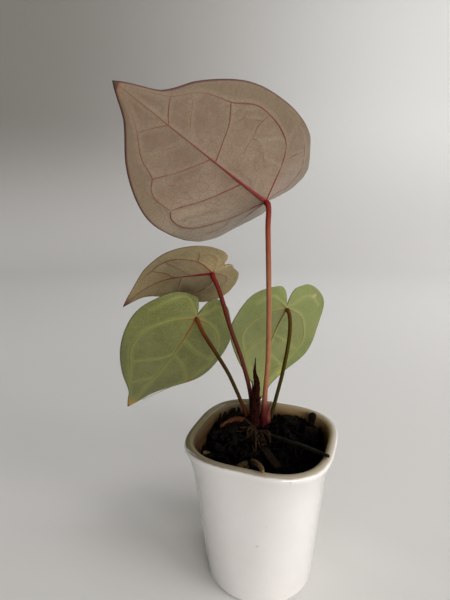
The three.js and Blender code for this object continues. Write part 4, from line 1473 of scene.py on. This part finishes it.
def add_block(
    bm: BMesh, centre: Point, size: Point, turn: Point, draw: Draw, cuts: int, ridges: float
) -> None:
    """Adds a rough block of bark whose corners are drawn as on the CAD part.

    Args:
        bm: the mesh that takes it.
        centre: its middle.
        size: its length, width and depth.
        turn: its turns about X, Y and Z.
        draw: the generator of its corners.
        cuts: how finely it is cut up.
        ridges: how deep its fibres are, in millimetres.
    """
    corners = {}
    for corner in CHIP_CORNERS:
        sides = zip(corner, size, CHIP_JITTER)
        corners[corner] = [sign * length / 2 * (1 - jitter * draw()) for sign, length, jitter in sides]
    start = len(bm.verts)
    bm.from_mesh(cut_cube(cuts))
    bm.verts.ensure_lookup_table()
    spin = Euler(turn, "XYZ").to_matrix()
    tone = bm.verts.layers.float["along"]
    shade = (centre[0] * 0.37 + centre[1] * 0.73 + size[0]) % 1.0
    for vertex in bm.verts[start:]:
        a, b, c = vertex.co
        spot = Vector((0, 0, 0))
        for (sa, sb, sc), corner in corners.items():
            spot += Vector(corner) * ((1 + sa * a) * (1 + sb * b) * (1 + sc * c) / 8)
        outward = spot.normalized()
        ridge = noise.noise(Vector((0.12 * spot.x, 1.1 * spot.y, 1.1 * spot.z)) + Vector(centre))
        lump = noise.noise(0.45 * spot + Vector(centre))
        rounding = 0.07 * (abs(a * b) ** 3 + abs(b * c) ** 3 + abs(a * c) ** 3)
        spot = spot * (1 - rounding) + outward * (ridges * ridge + 0.6 * ridges * lump)
        vertex.co = spin @ spot + Vector(centre)
        vertex[tone] = shade


def tumble(draw: Draw, about_x: float, about_y: float, about_z: float = TURN) -> Point:
    """Draws turns of a block: to both sides about X and Y, and one way about Z."""
    return about_x * (draw() - 0.5), about_y * (draw() - 0.5), about_z * draw()


@dataclass(frozen=True)
class BarkFinish:
    """Bark, wood or root: two tones, flecks and fibres along Z.

    Attributes:
        dark: the darker tone.
        light: the lighter tone.
        fleck: sparse flecks.
        flecked: how much of it they cover, 0 to 1.
        roughness: how matt it is.
        width: how wide its fibres are.
        stretch: how many times longer than wide they are.
        shine: how much light it mirrors.
    """

    dark: Colour
    light: Colour
    fleck: Colour
    flecked: float
    roughness: float
    width: float = 0.6
    stretch: float = 4.0
    shine: float = 0.22

    def material(self, name: str) -> Material:
        """Makes the material."""
        skin = Finish(name, specular_ior_level=self.shine)
        place = skin.place()
        grain = skin.fibre(place, self.width, self.stretch)
        blotch, lumps = skin.mottle(place, size=3.0, edge=0.18)
        share = skin.times(skin.plus(blotch, skin.times(skin.layer("along"), 0.6)), grain)
        colour = skin.mix(share, self.dark, self.light)
        flecks = skin.mottle(place, size=1.1, edge=0.07)[0]
        colour = skin.mix(skin.times(flecks, self.flecked), colour, self.fleck)
        return skin.finish(colour, self.roughness, height=skin.plus(grain, lumps), depth=0.3)


MIX_BARK = BarkFinish((3, 2, 2), (15, 9, 6), (40, 24, 14), 0.1, 0.75, shine=0.07)
MIX_BED = BarkFinish((2, 1, 1), (6, 4, 3), (16, 10, 7), 0.08, 0.95, shine=0.03)
OLD_BARK = BarkFinish((5, 4, 3), (20, 13, 9), (40, 26, 16), 0.12, 0.8, shine=0.07)
RED_BARK = BarkFinish((14, 8, 5), (50, 30, 19), (30, 18, 12), 0.2, 0.75, shine=0.12)
FIBRE_FINISH = BarkFinish((8, 6, 4), (38, 24, 12), (72, 50, 26), 0.15, 0.8, shine=0.1)
TAN_WOOD = BarkFinish((74, 54, 30), (128, 102, 62), (52, 36, 20), 0.3, 0.65)
TWIG_SKIN = BarkFinish((14, 14, 10), (46, 45, 33), (10, 9, 7), 0.3, 0.65, 0.4, 8.0, shine=0.15)
RUST_ROOT = BarkFinish((50, 26, 10), (94, 52, 22), (30, 16, 7), 0.25, 0.7, shine=0.12)
TAN_ROOT = BarkFinish((52, 34, 19), (98, 70, 40), (30, 20, 13), 0.3, 0.7)
OLD_ROOT = BarkFinish((24, 15, 8), (66, 44, 22), (16, 10, 6), 0.3, 0.8, shine=0.12)
CROWN_SKIN = BarkFinish((26, 12, 11), (64, 30, 26), (40, 24, 17), 0.3, 0.65)
DARK_HUSK = BarkFinish((9, 3, 3), (52, 16, 14), (84, 42, 30), 0.2, 0.7, 0.35, 14.0, shine=0.05)
OCHRE_HUSK = BarkFinish((44, 24, 16), (122, 92, 38), (66, 30, 22), 0.3, 0.6, 0.35, 14.0)
PINK_BRACT = BarkFinish((104, 46, 44), (146, 82, 70), (120, 44, 46), 0.2, 0.5, 0.3, 12.0)


STANDING_SPLINTERS = (
    (-27.0, 11.4, 69.6, 10.5, -1.3),
    (-25.7, 13.6, 70.6, 11.0, -1.2),
    (-24.8, 16.0, 69.4, 9.0, -1.45),
    (-23.4, 18.6, 69.6, 9.5, -1.25),
    (-21.6, 21.4, 69.4, 10.0, -1.4),
    (-19.4, 23.6, 69.6, 9.0, -1.15),
    (-16.8, 25.2, 68.4, 8.0, -1.35),
    (12.6, 26.8, 69.4, 7.0, -1.2),
    (16.4, 26.0, 69.2, 8.0, -1.35),
    (24.2, 21.6, 67.0, 8.5, -1.3),
    (26.4, 18.0, 66.4, 9.0, -1.45),
    (27.6, 13.4, 65.4, 7.0, -1.25),
)


@dataclass(frozen=True)
class PottingMix:
    """The bark and fibre mix, with the CAD part's heaps and chips."""

    pot: Pot
    level: float = 61
    back_rise: float = 0.1
    heap_height: float = 5.5
    heap_reach: float = 9
    mound_height: float = 2.5
    mound_reach: float = 11
    roughness: float = 0.9
    heaps: tuple[tuple[float, float], ...] = ((-23, 12), (12, 24))
    crown: tuple[float, float] = (-9, 21.5)
    clearance: float = 0.32
    chips: int = 40
    slivers: int = 9
    crumbs: int = 420
    splinters: int = 80
    fibres: int = 60
    chip_seed: int = 11
    crumb_seed: int = 23
    splinter_seed: int = 41
    fibre_seed: int = 31

    def height(self, x: Array, y: Array) -> Array:
        """Gives the mix's height, before its grain."""
        ripple = np.sin(0.71 * x + 1.3) * np.cos(0.63 * y) + 0.7 * np.sin(1.37 * x - 0.9 * y + 0.4)
        z = self.level + self.back_rise * (y + 10) + self.roughness * ripple
        for heap_x, heap_y in self.heaps:
            away = (x - heap_x) ** 2 + (y - heap_y) ** 2
            z = z + self.heap_height * np.exp(-away / (2 * self.heap_reach**2))
        away = (x - self.crown[0]) ** 2 + (y - self.crown[1]) ** 2
        return z + self.mound_height * np.exp(-away / (2 * self.mound_reach**2))

    def ground(self, x: float, y: float) -> float:
        """Gives the height at one spot."""
        return float(self.height(np.array(x), np.array(y)))

    def room(self, z: Array) -> Array:
        """Gives the half width that the mix may fill at a height."""
        return self.pot.inner_half(np.minimum(z, self.pot.height - self.pot.lip_depth)) - self.clearance

    def inside(self, x: float, y: float, margin: float) -> bool:
        """Says whether a spot is clear of the pot's wall."""
        exponent = float(self.pot.exponent(np.array(self.level)))
        half = (abs(x) ** exponent + abs(y) ** exponent) ** (1 / exponent)
        return half < float(self.room(self.level)) - margin

    def spot(self, draw: Draw, reach: float) -> tuple[float, float]:
        """Draws a spot within a share of the rim's half width."""
        radius = self.pot.rim_half * reach * math.sqrt(draw())
        angle = TURN * draw()
        return radius * math.cos(angle), radius * math.sin(angle)

    def build(self) -> None:
        """Makes the bed, the chips, the crumbs, the splinters and the fibres."""
        self._bed()
        self._chips()
        self._crumbs()
        self._splinters()
        self._fibres()

    def _bed(self) -> None:
        """Makes the closed body of the mix with a grainy top."""
        top_share = 0.8
        wall_share = 0.94
        under_share = 0.06
        bottom = self.pot.floor + self.clearance

        def place(first: Array, second: Array) -> Array:
            """Runs from the middle of the top to the wall, down it and under to the middle."""
            angle = TURN * second
            out = np.clip(first / top_share, 0, 1)
            down = np.clip((first - top_share) / (wall_share - top_share), 0, 1)
            back = np.clip((first - wall_share) / under_share, 0, 1)
            edge = rounded_square(angle, np.full(len(angle), 30.0), 2.8)
            edge_z = np.array([self.height(x, y) for x, y in zip(*edge)])
            z_wall = edge_z + down * (bottom - edge_z)
            x, y = rounded_square(angle, self.room(z_wall) * out * (1 - back), self.pot.exponent(z_wall))
            top = self.height(x, y)
            grain = rough(np.stack([x, y, top], axis=1), size=2.4, octaves=4, seed=3.0)
            grain *= 1 - smooth_step(out, 0.97, 1.0)
            on_top = first <= top_share
            z = np.where(on_top, top + 1.3 * grain, z_wall)
            z = np.where(on_top & (out > 0.999), edge_z, z)
            return np.stack([x, y, z], axis=1)

        bm = open_mesh()
        add_grid(bm, steps=120, sides=200, place=place)
        make_piece("mix_bed", bm, [MIX_BED.material("mix_bed_earth")], ["potting_mix"])

    def _chips(self) -> None:
        """Makes the chips and slivers where the CAD part has them."""
        draw = seeded_random(self.chip_seed)
        bm = open_mesh()
        for _ in range(self.chips):
            x, y = self.spot(draw, 0.85)
            size = (4 + 6 * draw(), 3 + 3 * draw(), 1.6 + 1.4 * draw())
            self._chip(bm, x, y, 0.4, size, tumble(draw, 1.3, 1.3, 6.28), draw)
        for _ in range(self.slivers):
            angle = TURN * draw()
            x = 20 * math.cos(angle) + 6 * draw()
            y = 20 * math.sin(angle) + 6 * draw()
            turn = (0.4 * draw(), -0.2 - 0.9 * draw(), 6.28 * draw())
            self._chip(bm, x, y, 0.8, (11, 1.3, 1.1), turn, draw)
        make_piece("bark_chips", bm, [MIX_BARK.material("chip_bark")])

    def _chip(self, bm: BMesh, x: float, y: float, lift: float, size: Point, turn: Point, draw: Draw) -> None:
        """Adds a chip, drawn in from the wall where it would cross it."""
        height = self.ground(x, y)
        while not self.inside(x, y, 0.42 * size[0]):
            x *= 0.97
            y *= 0.97
        add_block(bm, (x, y, height + lift), size, turn, draw, cuts=4, ridges=0.5)

    def _crumbs(self) -> None:
        """Strews small crumbs of bark over the mix."""
        draw = seeded_random(self.crumb_seed)
        bm = open_mesh()
        for _ in range(self.crumbs):
            x, y = self.spot(draw, 0.88)
            size = (1.2 + 3.2 * draw() ** 2, 0.9 + 1.2 * draw(), 0.6 + 0.7 * draw())
            turn = tumble(draw, 2.4, 2.4)
            if self.inside(x, y, 0.5 * size[0]):
                add_block(bm, (x, y, self.ground(x, y) + 0.7), size, turn, draw, cuts=1, ridges=0.15)
        make_piece("bark_crumbs", bm, [MIX_BARK.material("crumb_bark")])

    def _splinters(self) -> None:
        """Lays long flat splinters over the mix and stands a few up at the back and the right."""
        draw = seeded_random(self.splinter_seed)
        bm = open_mesh()
        for _ in range(self.splinters):
            x, y = self.spot(draw, 0.84)
            size = (5 + 9 * draw(), 0.7 + 1.6 * draw() ** 2, 0.4 + 0.5 * draw())
            turn = tumble(draw, 1.6, 0.8)
            height = self.ground(x, y) + 1.0 + 0.8 * draw()
            if self.inside(x, y, 0.5 * size[0]):
                add_block(bm, (x, y, height), size, turn, draw, cuts=3, ridges=0.35)
        for x, y, z, length, lean in STANDING_SPLINTERS:
            size = (length, 1.3 + 0.8 * draw(), 0.7 + 0.4 * draw())
            turn = (0.3 * draw(), lean, TURN * draw())
            add_block(bm, (x, y, z), size, turn, draw, cuts=4, ridges=0.5)
        make_piece("bark_splinters", bm, [MIX_BARK.material("splinter_bark")])

    def _fibres(self) -> None:
        """Strews thin curved fibres over the mix."""
        draw = seeded_random(self.fibre_seed)
        bm = open_mesh()
        for _ in range(self.fibres):
            x, y = self.spot(draw, 0.8)
            heading = TURN * draw()
            length = 4 + 9 * draw()
            bend = 0.5 * (draw() - 0.5)
            points = []
            for share in (-0.5, -0.17, 0.17, 0.5):
                way = heading + bend * share * 4
                spot_x = x + length * share * math.cos(way)
                spot_y = y + length * share * math.sin(way)
                points.append((spot_x, spot_y, self.ground(spot_x, spot_y) + 0.8 + 1.4 * draw()))
            if all(self.inside(spot_x, spot_y, 0.6) for spot_x, spot_y, _ in points):
                thick = 0.14 + 0.16 * draw()
                Tube(points, even_taper(thick, thick, 0.5 * thick), steps=14, sides=6).add_to(bm)
        make_piece("mix_fibres", bm, [FIBRE_FINISH.material("fibre_skin")])


@dataclass(frozen=True)
class Loose:
    """A piece in the mix with a bark, wood or root finish.

    Attributes:
        name: its name.
        nodes: the CAD nodes that it stands for.
        finish: its colours.
        slot: its material slot; not used.
    """

    name: str
    nodes: tuple[str, ...]
    finish: BarkFinish
    slot: Slot

    def shape(self, bm: BMesh) -> None:
        """Adds the piece's shape to a mesh."""
        raise NotImplementedError

    def build(self) -> None:
        """Makes the piece."""
        bm = open_mesh()
        self.shape(bm)
        make_piece(self.name, bm, [self.finish.material(f"{self.name}_skin")], self.nodes)


@dataclass(frozen=True)
class Crown(Loose):
    """The lumpy stump that every stalk rises from."""

    x: float = -9
    y: float = 21.5
    foot: float = 46
    top: float = 68.5
    radius: float = 7.4
    squeeze: float = 0.85
    closing: float = 0.06
    dome: float = 0.6

    def shape(self, bm: BMesh) -> None:
        """Adds the stump."""

        def place(first: Array, second: Array) -> Array:
            """Turns the stump's side round its axis, closed at foot and top."""
            share = np.clip((first - self.closing) / (1 - 2 * self.closing), 0, 1)
            closing = np.clip(first / self.closing, 0, 1) * np.clip((1 - first) / self.closing, 0, 1)
            angle = TURN * second
            swell = np.sqrt(1 - ((share - 0.66) / 0.78) ** 2) * (1 - 0.2 * smooth_step(share, 0.86, 1.0))
            lump = 1 + 0.09 * np.sin(3 * angle + 5 * share) + 0.06 * np.sin(5 * angle - 3 * share)
            rings = 0.015 * np.sin(46 * share + 2 * np.sin(angle))
            radius = self.radius * swell * (lump + rings) * np.sqrt(closing)
            x = self.x + radius * np.cos(angle)
            y = self.y + self.squeeze * radius * np.sin(angle)
            cap = np.clip((first - 1 + self.closing) / self.closing, 0, 1)
            z = self.foot + share * (self.top - self.foot) + self.dome * cap
            return np.stack([x, y, z], axis=1)

        vertices, shares = add_grid(bm, steps=70, sides=90, place=place)
        write_layer(bm, "along", vertices, shares[:, 0])


@dataclass(frozen=True)
class Husk(Loose):
    """A dry sheath leaf: flattened, ribbed and pointed."""

    points: Line
    width: float

    def shape(self, bm: BMesh) -> None:
        """Adds the sheath."""
        half = self.width / 2
        radius = monotone_curve([0, 0.35, 0.72, 0.86, 1], [half * 0.92, half, half * 0.58, half * 0.26, 0.16])

        def relief(distance: Array, angle: Array) -> Array:
            """Raises ribs along the sheath and crumples it."""
            ribs = 0.07 * np.cos(9 * angle + 0.05 * distance)
            folds = 0.26 * np.sin(0.42 * distance + 2 * angle) * np.sin(angle + 0.13 * distance)
            return ribs + folds + 0.1 * np.sin(1.3 * distance + 3 * np.sin(angle)) * np.sin(0.8 * distance)

        Tube(self.points, radius, steps=90, sides=54, flatten=0.5, relief=relief).add_to(bm)


@dataclass(frozen=True)
class Rod(Loose):
    """A root, twig or stick."""

    points: Line
    radii: tuple[float, float, float]
    knobbly: float = 0.1

    def shape(self, bm: BMesh) -> None:
        """Adds the rod with knots and ridges."""

        def relief(distance: Array, angle: Array) -> Array:
            """Roughens the rod."""
            knots = np.sin(0.9 * distance + 1.3 * np.sin(angle)) * np.sin(0.37 * distance)
            return self.knobbly * (knots + 0.6 * np.cos(4 * angle + 0.3 * distance))

        Tube(self.points, even_taper(*self.radii), steps=90, sides=24, relief=relief).add_to(bm)


@dataclass(frozen=True)
class RootStubs(Loose):
    """The knot of old roots in front of the crown."""

    knot: Point = (-6.2, 13.4, 64.4)
    ends: Line = ((-9.6, 7, 62.6), (-4.8, 5.2, 62.2), (-0.6, 6.6, 62))
    rise: float = 1.4
    thick: float = 1.9
    thin: float = 1.0

    def shape(self, bm: BMesh) -> None:
        """Adds the arms of the knot."""

        def relief(distance: Array, angle: Array) -> Array:
            """Roughens the roots."""
            return 0.12 * np.sin(1.5 * distance + 2 * np.sin(angle)) + 0.06 * np.cos(5 * angle)

        radius = even_taper(self.thick, (self.thick + self.thin) / 2, self.thin)
        for end in self.ends:
            bend = [(a + b) / 2 for a, b in zip(self.knot, end)]
            bend[2] += self.rise
            Tube([self.knot, bend, end], radius, steps=50, sides=24, relief=relief).add_to(bm)


@dataclass(frozen=True)
class FineRoots(Loose):
    """Thin old roots that spread from the crown's foot over the mix."""

    mix: PottingMix
    start: Point = (-6.6, 14.2, 65.6)
    roots: int = 17
    seed: int = 53

    def shape(self, bm: BMesh) -> None:
        """Adds the roots."""
        draw = seeded_random(self.seed)
        for k in range(self.roots):
            heading = math.radians(-172 + 150 * (k + draw()) / self.roots)
            length = 5 + 7 * draw() + 7 * max(0.0, math.cos(heading + 1.0)) ** 4
            points = [self.start]
            for share in (0.3, 0.6, 1.0):
                way = heading + 0.5 * (draw() - 0.5)
                x = self.start[0] + share * length * math.cos(way)
                y = self.start[1] + share * length * math.sin(way)
                points.append((x, y, self.mix.ground(x, y) + 0.9 + 1.6 * (1 - share) + 0.5 * draw()))
            thick = 0.45 + 0.55 * draw()
            Tube(points, even_taper(thick, 0.8 * thick, 0.4 * thick), steps=26, sides=10).add_to(bm)


@dataclass(frozen=True)
class Lump(Loose):
    """A loose piece of bark, wood or grit."""

    centre: Point
    size: Point
    turn: Point
    seed: int
    ridges: float = 0.5

    def shape(self, bm: BMesh) -> None:
        """Adds the lump."""
        draw = seeded_random(self.seed)
        add_block(bm, self.centre, self.size, self.turn, draw, cuts=14, ridges=self.ridges)


def loose_pieces(mix: PottingMix) -> tuple[Loose, ...]:
    """Gives the husks, rods, roots and lumps in the order that they are built."""
    spike_foot = ((-8.5, 15.6, 63), (-8.5, 16.3, 71.5), (-9.3, 18.8, 82.5))
    spike = (*spike_foot, (-9.3, 20.6, 91.5), (-10.9, 22.6, 96), (-11.4, 25, 102.8))
    ochre = ((-10.1, 19.4, 64), (-10.3, 20, 71.5), (-11, 20.9, 79.6), (-12.6, 23.2, 90.8))
    bract = ((-2.5, 20.9, 64), (-2.4, 21.7, 74), (-2.1, 24.2, 80))
    root = ((-12, 16.4, 66), (-14.2, 15.8, 70.6), (-19.5, 12.6, 71.3), (-25, 7.4, 69))
    twig = ((-0.8, 12.8, 66.6), (10, 5.4, 69.5), (21.2, -2.6, 72.6), (33.4, -13, 76.4))
    stick = ((-2.1, -11, 65), (3.6, -23, 72.2), (8, -32, 76.7), (9.6, -35.2, 77.3))
    knob = ((19.6, 23, 62), (20, 23.6, 70), (20.4, 24.4, 77))
    bark = (OLD_BARK, Slot.BARK)
    red = (RED_BARK, Slot.BARK)
    wood = (TAN_WOOD, Slot.PALE_WOOD)
    return (
        Husk("spike_sheath", ("husk_spike",), DARK_HUSK, Slot.HUSK, spike, 4.8),
        Husk("ochre_sheath", ("husk_ochre",), OCHRE_HUSK, Slot.HUSK, ochre, 2.2),
        Husk("pink_bract", ("bract",), PINK_BRACT, Slot.RED_STALK, bract, 2.2),
        Rod("rust_root", ("aerial_root",), RUST_ROOT, Slot.ROOT, root, (1.3, 1.3, 0.9), 0.05),
        Rod("grey_twig", ("twig",), TWIG_SKIN, Slot.BARK, twig, (0.8, 0.95, 0.75)),
        Rod("pale_stick", ("stick",), *wood, stick, (1.1, 1.3, 0.9)),
        Rod("knob_of_bark", ("bark_knob",), *bark, knob, (1.8, 1.5, 2.1)),
        RootStubs("old_root_knot", ("root_stubs",), TAN_ROOT, Slot.ROOT),
        FineRoots("fine_roots", (), OLD_ROOT, Slot.ROOT, mix),
        Lump("lump_of_bark", ("bark_lump",), *bark, (8.4, 23.4, 68.4), (10, 8, 9), (0.3, 0.2, 0.4), 4),
        Lump("plate_of_bark", ("bark_plate",), *bark, (20.4, 16.6, 66), (9.5, 3.6, 14), (-0.25, 0.1, 0.2), 7),
        Lump("strip_of_bark", ("bark_strip",), *red, (5.4, -5, 64.4), (21, 5.6, 3.2), (0.15, 0, -0.91), 9),
        Lump("chip_of_wood", ("tan_chip",), *wood, (-4.6, -17, 65.4), (6.4, 4, 3.4), (0.2, -0.3, 0.5), 12),
        Lump("tan_pebble", ("pebble",), *wood, (-25.8, -9.5, 62.4), (4, 3.2, 3), (0, 0.2, 0.3), 15, 0.2),
    )


# The studio


@dataclass(frozen=True)
class Softbox:
    """A large soft light: where it stands, where it points, its size and its power."""

    name: str
    place: Point
    target: Point
    width: float
    height: float
    power: float
    colour: Point

    def build(self) -> None:
        """Makes the light, in metres."""
        light = bpy.data.lights.new(self.name, "AREA")
        light.shape = "RECTANGLE"
        light.size = self.width * MM
        light.size_y = self.height * MM
        light.energy = self.power
        light.color = self.colour
        lamp = add_object(self.name, light)
        lamp.location = Vector(self.place) * MM
        way = Vector(self.target) - Vector(self.place)
        lamp.rotation_mode = "QUATERNION"
        lamp.rotation_quaternion = way.to_track_quat("-Z", "Y")
        lamp.visible_camera = False


MIDDLE = (0.0, 15.0, 110.0)
LIGHTS = (
    Softbox("window", (1240, -270, 860), MIDDLE, 760, 1200, 10.8, (1.0, 0.985, 0.965)),
    Softbox("front_card", (840, -1080, 520), MIDDLE, 900, 520, 11.4, (1.0, 0.99, 0.98)),
    Softbox("left_edge", (-1180, 360, 820), MIDDLE, 80, 900, 1.4, (0.96, 0.98, 1.0)),
    Softbox("top_card", (-150, 150, 1300), MIDDLE, 800, 800, 1.8, (1.0, 1.0, 1.0)),
    Softbox("wall_wash", (650, 500, 1000), (350, 1800, 350), 900, 500, 8.0, (0.98, 0.99, 1.0)),
)


@dataclass(frozen=True)
class Studio:
    """The camera at the photograph's angle, the pale floor that sweeps up all round, and the lights."""

    camera_place: Point = (49.47, -193.39, 186.80)
    camera_right: Point = (0.94084, 0.33879, 0.00572)
    camera_up: Point = (-0.08205, 0.21142, 0.97395)
    lens: float = 27.0
    sensor: float = 36.0
    floor_reach: float = 1000
    sweep: float = 900
    top: float = 2300
    ambient: float = 0.03

    def build(self) -> None:
        """Makes everything that isn't part of the object."""
        self._camera()
        self._backdrop()
        self._world()
        for light in LIGHTS:
            light.build()

    def _camera(self) -> None:
        """Sets the camera up as it was fitted to the photograph."""
        data = bpy.data.cameras.new("camera")
        data.lens = self.lens
        data.sensor_width = self.sensor
        data.clip_start = 0.005
        data.clip_end = 20.0
        camera = add_object("camera", data)
        right = Vector(self.camera_right).normalized()
        up = Vector(self.camera_up)
        up = (up - right * up.dot(right)).normalized()
        axes = Matrix((right, up, right.cross(up))).transposed().to_4x4()
        camera.matrix_world = Matrix.Translation(Vector(self.camera_place) * MM) @ axes
        bpy.context.scene.camera = camera
        bpy.context.scene.view_settings.view_transform = "Standard"

    def _backdrop(self) -> None:
        """Makes the floor and the wall as one round sheet with a swept corner."""
        floor_share = 0.3
        curve_share = 0.45
        wall_share = 0.25

        def place(first: Array, second: Array) -> Array:
            """Runs out over the floor, round the corner and up the wall."""
            turn = np.clip((first - floor_share) / curve_share, 0, 1) * math.pi / 2
            reach = np.clip(first / floor_share, 0, 1) * self.floor_reach + self.sweep * np.sin(turn)
            rise = np.clip((first - 1 + wall_share) / wall_share, 0, 1) * (self.top - self.sweep)
            angle = TURN * second
            z = self.sweep * (1 - np.cos(turn)) + rise
            return np.stack([reach * np.cos(angle), reach * np.sin(angle), z], axis=1)

        bm = open_mesh()
        add_grid(bm, steps=60, sides=96, place=place)
        bmesh.ops.remove_doubles(bm, verts=bm.verts, dist=MERGE_DISTANCE)
        mesh = new_mesh("studio_sweep", bm)
        mesh.shade_smooth()
        mesh.materials.append(self._pale_paint())
        sheet = add_object("studio_sweep", mesh)

    @staticmethod
    def _pale_paint() -> Material:
        """Makes the pale matt paint, greyer to the left as painted shade, and darker behind the camera to
        send less light back onto the pot's left side.
        """
        skin = Finish("studio_paint", specular_ior_level=0.1)
        axes = skin.axes(skin.place())
        towards = skin.plus(skin.times(axes["Y"], -0.9), skin.times(axes["X"], -0.45))
        # Painted shade: the wall greys to the left.
        wall = skin.mix(skin.rise(axes["X"], -1400, 200), (168, 164, 158), (250, 249, 247))
        colour = skin.mix(skin.rise(axes["Z"], 0, 500), (226, 224, 221), wall)
        colour = skin.mix(skin.rise(towards, 130, 550), colour, (112, 109, 105))
        return skin.finish(colour, roughness=0.95)

    def _world(self) -> None:
        """Makes the even light of a pale room."""
        world = bpy.data.worlds.new("pale_room")
        world.use_nodes = True
        background = world.node_tree.nodes["Background"]
        background.inputs["Color"].default_value = (0.96, 0.98, 1.0, 1.0)
        background.inputs["Strength"].default_value = self.ambient
        bpy.context.scene.world = world


def main() -> None:
    """Builds every piece in order."""
    logging.basicConfig(level=logging.INFO, format="%(message)s")
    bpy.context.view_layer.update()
    Studio().build()
    pot = Pot()
    pot.build()
    mix = PottingMix(pot)
    mix.build()
    Crown("crown_stump", ("crown",), CROWN_SKIN, Slot.CROWN).build()
    for blade, stalk in zip(BLADES, STALKS):
        blade.build()
        stalk.build(blade)
    for piece in loose_pieces(mix):
        piece.build()
    LOG.info("all pieces built")


if __name__ == "__main__":
    main()
